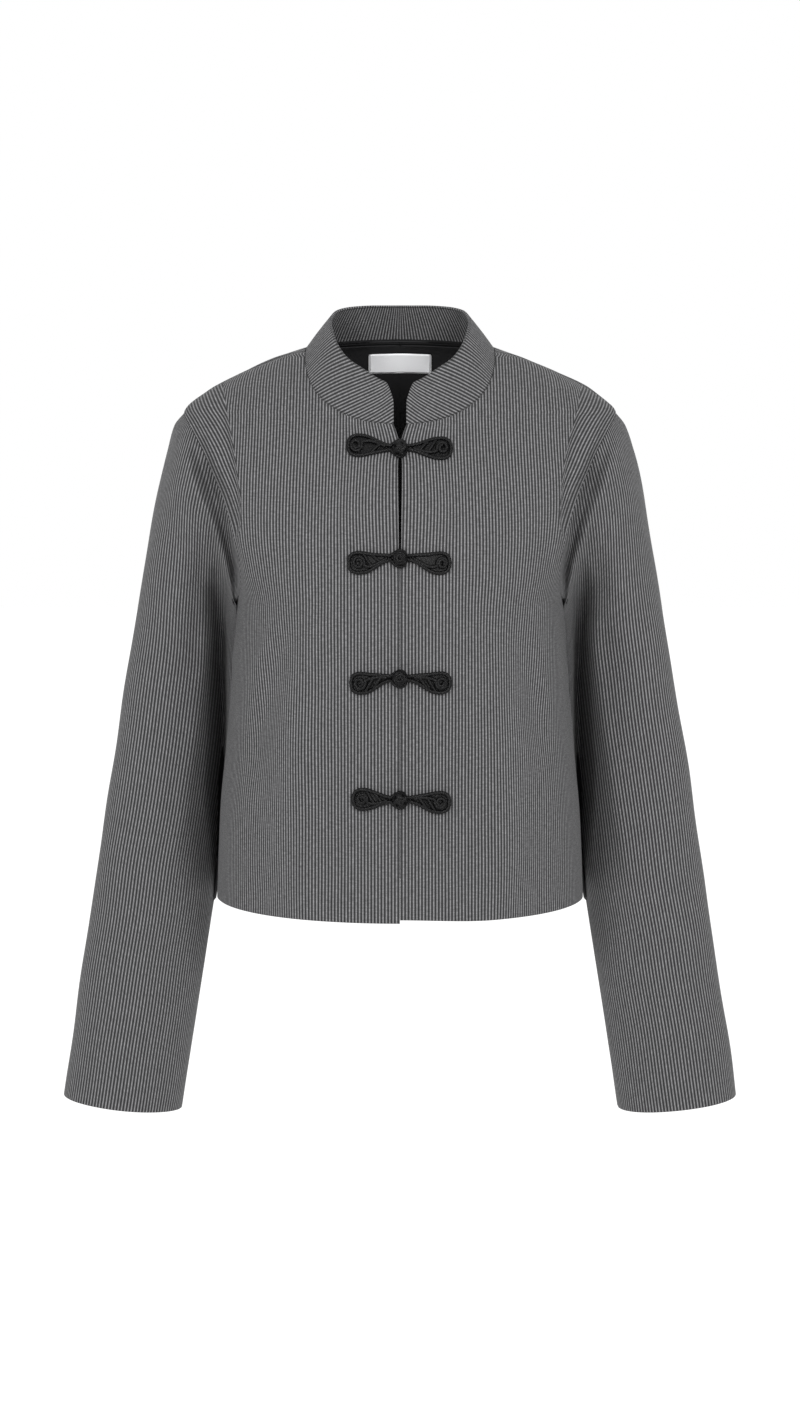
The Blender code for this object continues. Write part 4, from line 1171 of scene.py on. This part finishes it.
def stitch_tree():
    """Rows of short stitches between two pairs of ends."""
    tree = bpy.data.node_groups.new("stitch rows", "GeometryNodeTree")
    face = tree.interface
    for name in ("Start right", "End right", "Start left", "End left", "Turn"):
        face.new_socket(name, in_out="INPUT", socket_type="NodeSocketVector")
    face.new_socket("Count", in_out="INPUT", socket_type="NodeSocketInt")
    for name in ("Length", "Thread", "Tilt"):
        face.new_socket(name, in_out="INPUT", socket_type="NodeSocketFloat")
    face.new_socket("Material", in_out="INPUT", socket_type="NodeSocketMaterial")
    face.new_socket("Geometry", in_out="OUTPUT", socket_type="NodeSocketGeometry")
    given = tree.nodes.new("NodeGroupInput").outputs
    joined = tree.nodes.new("GeometryNodeJoinGeometry")
    for side_name in ("right", "left"):
        row = add_node(tree, "GeometryNodeMeshLine", mode="END_POINTS")
        tree.links.new(given["Count"], row.inputs["Count"])
        tree.links.new(given[f"Start {side_name}"], row.inputs["Start Location"])
        tree.links.new(given[f"End {side_name}"], row.inputs["Offset"])
        tree.links.new(row.outputs["Mesh"], joined.inputs[0])
    stitch = tree.nodes.new("GeometryNodeMeshUVSphere")
    stitch.inputs["Segments"].default_value = 10
    stitch.inputs["Rings"].default_value = 8
    stitch.inputs["Radius"].default_value = 0.5
    size = tree.nodes.new("ShaderNodeCombineXYZ")
    tree.links.new(given["Thread"], size.inputs[0])
    tree.links.new(given["Thread"], size.inputs[1])
    tree.links.new(given["Length"], size.inputs[2])
    tilt = add_node(tree, "FunctionNodeRandomValue", data_type="FLOAT")
    tilt.inputs["Seed"].default_value = STITCH_SEED
    tree.links.new(do_maths(tree, "MULTIPLY", given["Tilt"], -1.0), tilt.inputs[2])
    tree.links.new(given["Tilt"], tilt.inputs[3])
    turned = tree.nodes.new("ShaderNodeCombineXYZ")
    tree.links.new(tilt.outputs[1], turned.inputs[1])
    turn = add_node(tree, "ShaderNodeVectorMath", operation="ADD")
    tree.links.new(given["Turn"], turn.inputs[0])
    tree.links.new(turned.outputs[0], turn.inputs[1])
    placed = tree.nodes.new("GeometryNodeInstanceOnPoints")
    tree.links.new(joined.outputs[0], placed.inputs["Points"])
    tree.links.new(stitch.outputs["Mesh"], placed.inputs["Instance"])
    tree.links.new(turn.outputs[0], placed.inputs["Rotation"])
    tree.links.new(size.outputs[0], placed.inputs["Scale"])
    real = tree.nodes.new("GeometryNodeRealizeInstances")
    tree.links.new(placed.outputs[0], real.inputs[0])
    painted = tree.nodes.new("GeometryNodeSetMaterial")
    tree.links.new(real.outputs[0], painted.inputs["Geometry"])
    tree.links.new(given["Material"], painted.inputs["Material"])
    tree.links.new(painted.outputs[0], tree.nodes.new("NodeGroupOutput").inputs["Geometry"])
    return tree


def make_thread():
    material, tree, shader = start_material("label_thread")
    place = add_node(tree, "ShaderNodeTexCoord")
    weave = add_weave(tree, place.outputs["Object"], 4000.0, 0.4)
    tint(tree, shader, THREAD_COLOUR, weave, (0.9, 1.1))
    shader.inputs["Roughness"].default_value = 0.5
    return material


def label_place(x, level):
    angle = 180.0 - angle_at(x, level)
    return body_point(angle, level) - body_out(angle, level) * (LABEL_DEPTH + LABEL_THICKNESS)


def made_stitches():
    values = {"Count": STITCH_COUNT, "Length": STITCH_LENGTH, "Thread": STITCH_THREAD, "Tilt": STITCH_TILT,
              "Material": make_thread()}
    for side_name, side in (("right", RIGHT), ("left", LEFT)):
        ends = []
        for level in (LABEL_BOTTOM_LEVEL + STITCH_END_INSET, LABEL_TOP_LEVEL - STITCH_END_INSET):
            place = label_place(np.array(LABEL_HALF_WIDTH - STITCH_INSET), np.array(level))
            ends.append(place * (side, 1.0, 1.0))
        values[f"Start {side_name}"], values[f"End {side_name}"] = (tuple(end) for end in ends)
    along = ends[1] - ends[0]
    values["Turn"] = (float(np.arctan2(-along[1], along[2])), 0.0, 0.0)
    holder = add_object("stitch_rows", bpy.data.meshes.new("stitch_rows"))
    modifier = holder.modifiers.new("stitches", "NODES")
    modifier.node_group = stitch_tree()
    for item in modifier.node_group.interface.items_tree:
        if item.in_out == "INPUT":
            modifier[item.identifier] = values[item.name]
    made = holder.evaluated_get(bpy.context.evaluated_depsgraph_get())
    mesh = bpy.data.meshes.new_from_object(made)
    mesh.name = "neck_label_stitches"
    mesh.shade_smooth()
    bpy.data.objects.remove(holder)
    return add_object("neck_label_stitches", mesh)


stitches = made_stitches()
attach(stitches, "root")
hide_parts("neck_label")

# The frog fastenings, each in two halves of bias-cut black satin cord. A cord runs round each pad and
# coils up inside it; the left half ends in a ball knot, and the right one in a loop that goes round it.
# Columns: level, right_reach, left_reach, right_drop, left_drop
FROGS = (
    (-0.0835, 0.0466, 0.0459, 0.0020, -0.0005),
    (-0.1764, 0.0457, 0.0442, -0.0042, -0.0045),
    (-0.2797, 0.0436, 0.0445, -0.0045, -0.0042),
    (-0.3853, 0.0419, 0.0442, 0.0000, -0.0027),
)
FROG_SAG_STARTS = 0.0090
FROG_SAG_ENDS = 0.0300
# Outline of a pad. Columns: from_centre, half_height
PAD_OUTLINE = np.array((
    (0.0470, 0.0000),
    (0.0464, 0.0042),
    (0.0450, 0.0068),
    (0.0425, 0.0088),
    (0.0375, 0.0101),
    (0.0315, 0.0097),
    (0.0255, 0.0082),
    (0.0195, 0.0062),
    (0.0145, 0.0046),
    (0.0110, 0.0038),
    (0.0085, 0.0034),
))
CORD_RADIUS = 0.00165
CORD_SIDES = 12
CORD_STEP = 0.00045
CORD_RIDGES = 2
CORD_TWIST = 0.0034
CORD_RIPPLE = 0.085
CORD_CLEARANCE = 0.0004
KNOT_RADIUS = 0.0047
KNOT_HEIGHT = 0.0063
KNOT_RISE = 0.0005
KNOT_CORD_RADIUS = 0.0019
KNOT_CORE_RADIUS = 0.0050
KNOT_CORE_TILT = 1.45
KNOT_CORE_GRID = (12, 24)
CURLED_KNOTS = (1, 2)
CURL_CORD_RADIUS = 0.00155
CURL_TURNS = 2.2
PAD_INSET = 0.0009
PAD_STARTS = 0.0100
PAD_COLUMNS = 9
PAD_FACES = ((0.0016, 1), (0.0005, -1))
SATIN_COLOUR = (0.0014, 0.0014, 0.0016, 1.0)
SATIN_CREASE_SPACING = 0.0011
# Ways of the cord between the pad and the centre, into the knot or round it. Columns: away, up
KNOT_ENTRY = np.array(((0.0030, 0.0010), (0.0055, 0.0014)))
LOOP_ABOVE = np.array(((-0.0052, -0.0010), (-0.0040, 0.0040), (0.0000, 0.0062), (0.0045, 0.0042)))
LOOP_BELOW = np.array(((-0.0052, -0.0010), (-0.0040, -0.0056), (0.0000, -0.0072), (0.0045, -0.0052)))
# Way of the inner cord to its coil. Columns: away, aside
COIL_LEAD = np.array(((0.0125, 0.00072), (0.0190, 0.0026), (0.0270, 0.0036)))
STRAND_START = 0.0165
STRAND_STEP = 0.0072
STRAND_LEAN = 0.0085
STRAND_RISE = 0.0011
# Coil inside each pad. Columns: frog, side, upward (1 or -1), centre, curl_radius, turns, strands
COILS = (
    (0, RIGHT, -1, 0.0385, 0.0050, 1.5, 1),
    (0, LEFT, 1, 0.0375, 0.0048, 1.3, 2),
    (1, RIGHT, 1, 0.0365, 0.0052, 1.4, 2),
    (1, LEFT, 1, 0.0385, 0.0046, 1.7, 0),
    (2, RIGHT, -1, 0.0370, 0.0052, 1.3, 2),
    (2, LEFT, -1, 0.0375, 0.0050, 1.6, 2),
    (3, RIGHT, 1, 0.0365, 0.0050, 1.4, 2),
    (3, LEFT, -1, 0.0370, 0.0050, 1.5, 2),
)


def make_satin():
    """Satin whose slanting creases lie under its threads."""
    material = plain_cloth(
        "black_satin_cord", SATIN_COLOUR, shades=(0.6, 1.4), threads=2400.0, slub_stretch=0.2, roughness=0.27,
        gloss=0.15, relief=(0.4, 0.00004),
    )
    tree = material.node_tree
    split = add_node(tree, "ShaderNodeSeparateXYZ")
    tree.links.new(tree.nodes["UV Map"].outputs[0], split.inputs[0])
    slant = do_maths(tree, "ADD", split.outputs[0], do_maths(tree, "MULTIPLY", split.outputs[1], 0.8))
    creases = do_maths(tree, "SINE", do_maths(tree, "MULTIPLY", slant, 2.0 * pi / SATIN_CREASE_SPACING))
    threads = tree.nodes["Bump"]
    tree.links.new(add_relief(tree, creases, strength=0.5, distance=0.00012), threads.inputs["Normal"])
    return material


def even_path(points, step):
    """A smooth path through points, in even steps."""
    points = np.asarray(points, float)
    length = length_along(points)
    at = np.linspace(0.0, length[-1], max(int(length[-1] / step), 8))
    return read_table(np.column_stack((length, points)), at)


def cord_mesh(path, radius, closed=False):
    """Twisted cord along a path in space; returns points, faces and places on the cord for the pattern."""
    ahead = np.roll(path, -1, 0) - np.roll(path, 1, 0) if closed else np.gradient(path, axis=0)
    ahead = unit(ahead)
    aside = np.zeros_like(path)
    side = unit(np.cross(ahead[0], np.array((0.0, -1.0, 0.2))))
    for i, direction in enumerate(ahead):
        side = unit(side - direction * np.dot(side, direction))
        aside[i] = side
    upward = np.cross(ahead, aside)
    run = length_along(path)
    turn = np.arange(CORD_SIDES) * 2.0 * pi / CORD_SIDES
    ripple_turn = CORD_RIDGES * turn[None] + 2.0 * pi * run[:, None] / CORD_TWIST
    size = radius * (1.0 + CORD_RIPPLE * np.sin(ripple_turn))
    ring = aside[:, None] * np.cos(turn)[None, :, None] + upward[:, None] * np.sin(turn)[None, :, None]
    points = path[:, None] + ring * size[..., None]
    index = np.arange(len(path) * CORD_SIDES).reshape(len(path), CORD_SIDES)
    if closed:
        index = np.concatenate((index, index[:1]))
    index = np.concatenate((index, index[:, :1]), axis=1)
    faces = grid_faces(index).tolist()
    if not closed:
        faces += [index[0, :-1][::-1].tolist(), index[-1, :-1].tolist()]
    places = np.stack(np.broadcast_arrays(run[:, None], radius * turn[None]), axis=-1)
    return points.reshape(-1, 3), faces, places.reshape(-1, 2)


def frog_sizes(number, side):
    """Level, reach and drop of one half of a frog."""
    level, right_reach, left_reach, right_drop, left_drop = FROGS[number]
    return (level, left_reach, left_drop) if side == LEFT else (level, right_reach, right_drop)


def pad_place(number, side, flat):
    """Points over the cloth from (away from the centre, up, above the cloth) on one half of a frog."""
    level, _, drop = frog_sizes(number, side)
    sag = drop * ease((flat[..., 0] - FROG_SAG_STARTS) / (FROG_SAG_ENDS - FROG_SAG_STARTS))
    place_level = level + sag + flat[..., 1]
    angle = angle_at(flat[..., 0], place_level)
    points = body_point(angle, place_level) + body_out(angle, place_level) * flat[..., 2:3]
    return mirrored(points, side)


def outline_path(reach, inset):
    """Half outline of a pad drawn in by inset, from its waist to the middle of its round end."""
    table = PAD_OUTLINE[::-1] * np.array((reach / PAD_OUTLINE[0, 0], 1.0))
    along = np.gradient(table, axis=0)
    square = unit(np.stack((-along[:, 1], along[:, 0]), axis=-1))
    square = np.where(square[:, 1:] < 0.0, -square, square)
    drawn_in = table - square * inset
    drawn_in[-1] = (table[-1, 0] - inset, 0.0)
    return drawn_in


def frog_paths(number, side):
    """Flat paths of the cords of one half: (points, radius)."""
    reach = frog_sizes(number, side)[1]
    _, _, upward, centre, curl_radius, turns, strands = next(row for row in COILS if row[:2] == (number, side))
    stretch = reach / PAD_OUTLINE[0, 0]
    height = CORD_RADIUS + CORD_CLEARANCE
    half = outline_path(reach, CORD_RADIUS)
    above, below = (KNOT_ENTRY, KNOT_ENTRY * (1.0, -1.0)) if side == LEFT else (LOOP_ABOVE, LOOP_BELOW)
    upper = np.concatenate((above, half))
    lower = np.concatenate((below, half * (1.0, -1.0)))
    loop = np.concatenate((upper, lower[-2::-1]))
    paths = [(np.column_stack((loop, np.full(len(loop), height))), CORD_RADIUS)]
    spin = np.linspace(0.0, 2.0 * pi * turns, 60)
    curl = curl_radius * stretch * (1.0 - 0.62 * spin / spin[-1])
    middle = centre * stretch
    coil = np.stack((middle - curl * np.cos(spin), upward * curl * np.sin(spin) * 1.08), axis=-1)
    bend = np.array(((middle - curl[0] * 0.98, -upward * 0.0018),))
    inner = np.concatenate((COIL_LEAD * (stretch, -upward), bend, coil))
    rise = height + 0.0005 + 0.0006 * np.linspace(0.0, 1.0, len(inner))
    paths.append((np.column_stack((inner, rise)), CORD_RADIUS * 0.97))
    for strand in range(strands):
        foot = (STRAND_START + STRAND_STEP * strand) * stretch
        lean = STRAND_LEAN * stretch
        across = np.linspace(0.0, 1.0, 7)
        ends = np.interp((foot, foot + lean), half[:, 0], half[:, 1]) * 0.92
        slope = np.column_stack((foot + lean * across, upward * (-ends[0] + (ends[0] + ends[1]) * across),
                                 height + STRAND_RISE * np.sin(pi * across)))
        paths.append((slope, CORD_RADIUS * 0.82))
    return paths


def knot_centre(number):
    return body_point(0.0, FROGS[number][0]) + np.array((0.0, -KNOT_HEIGHT, KNOT_RISE))


def knot_path(number):
    """Closed path of the cord that is woven into a ball at the centre front."""
    t = np.linspace(0.0, 2.0 * pi, 420, endpoint=False)
    longitude = 3.0 * t + 0.5 * number
    latitude = radians(62.0) * np.sin(4.0 * t)
    radius = KNOT_RADIUS + 0.00045 * np.cos(8.0 * t + 0.4)
    around = np.cos(latitude)
    ball = np.stack((around * np.cos(longitude), -np.sin(latitude), around * np.sin(longitude)), axis=-1)
    return knot_centre(number) + ball * radius[:, None] * np.array((1.0, 0.92, 1.0))


def curl_path(number):
    """Open path of a cord wound round the front of the ball and curled up in its middle."""
    t = np.linspace(0.0, 1.0, 220)
    turn = 2.0 * pi * CURL_TURNS * t + 0.9 * number
    reach = KNOT_RADIUS * (1.02 - 0.82 * t ** 1.1)
    forward = 0.0016 + 0.0042 * t ** 0.8
    return knot_centre(number) + np.stack((reach * np.cos(turn), -forward, reach * np.sin(turn)), axis=-1)


def frog_half(number, side):
    meshes = []
    for flat, radius in frog_paths(number, side):
        meshes.append(cord_mesh(pad_place(number, side, even_path(flat, CORD_STEP)), radius))
    half = outline_path(frog_sizes(number, side)[1], PAD_INSET)
    half = half[half[:, 0] > PAD_STARTS][:, None, :]
    across = np.linspace(-1.0, 1.0, PAD_COLUMNS)[None, :]
    quads = grid_faces(np.arange(len(half) * PAD_COLUMNS).reshape(-1, PAD_COLUMNS))
    for height, facing in PAD_FACES:
        flat = np.stack(np.broadcast_arrays(half[..., 0], half[..., 1] * across, height), axis=-1)
        grid = pad_place(number, side, flat)
        meshes.append((grid.reshape(-1, 3), quads[:, ::facing].tolist(), flat[..., :2].reshape(-1, 2)))
    if side == LEFT:
        knot = knot_path(number)
        if number in CURLED_KNOTS:
            meshes.append(cord_mesh(curl_path(number), CURL_CORD_RADIUS))
        meshes.append(cord_mesh(knot, KNOT_CORD_RADIUS, True))
        tilt = np.linspace(-KNOT_CORE_TILT, KNOT_CORE_TILT, KNOT_CORE_GRID[0])[:, None]
        turn = np.linspace(0.0, 2.0 * pi, KNOT_CORE_GRID[1], endpoint=False)[None, :]
        ball = np.broadcast_arrays(np.cos(tilt) * np.cos(turn), -np.sin(tilt), np.cos(tilt) * np.sin(turn))
        core = (KNOT_CORE_RADIUS * np.stack(ball, axis=-1) + knot.mean(axis=0)).reshape(-1, 3)
        index = np.arange(len(core)).reshape(KNOT_CORE_GRID)
        index = np.concatenate((index, index[:, :1]), axis=1)
        caps = [index[0, :-1][::-1].tolist(), index[-1, :-1].tolist()]
        meshes.append((core, grid_faces(index).tolist() + caps, core[:, ::2]))
    points = []
    faces = []
    places = []
    for mesh_points, mesh_faces, mesh_places in meshes:
        start = len(points)
        points += mesh_points.tolist()
        faces += [[start + corner for corner in face] for face in mesh_faces]
        places += mesh_places.tolist()
    name = f"frog_{number + 1}_{'left' if side == LEFT else 'right'}_cord"
    mesh = bpy.data.meshes.new(name)
    mesh.from_pydata(points, [], faces)
    map_places(mesh, "grain", places)
    edit = bmesh.new()
    edit.from_mesh(mesh)
    bmesh.ops.recalc_face_normals(edit, faces=edit.faces)
    edit.to_mesh(mesh)
    edit.free()
    mesh.shade_smooth()
    mesh.materials.append(satin)
    return add_object(name, mesh)


satin = make_satin()
for number in range(len(FROGS)):
    for side in (RIGHT, LEFT):
        piece = frog_half(number, side)
        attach(piece, "root")
        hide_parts(f"frog_{number + 1}_{'left' if side == LEFT else 'right'}")
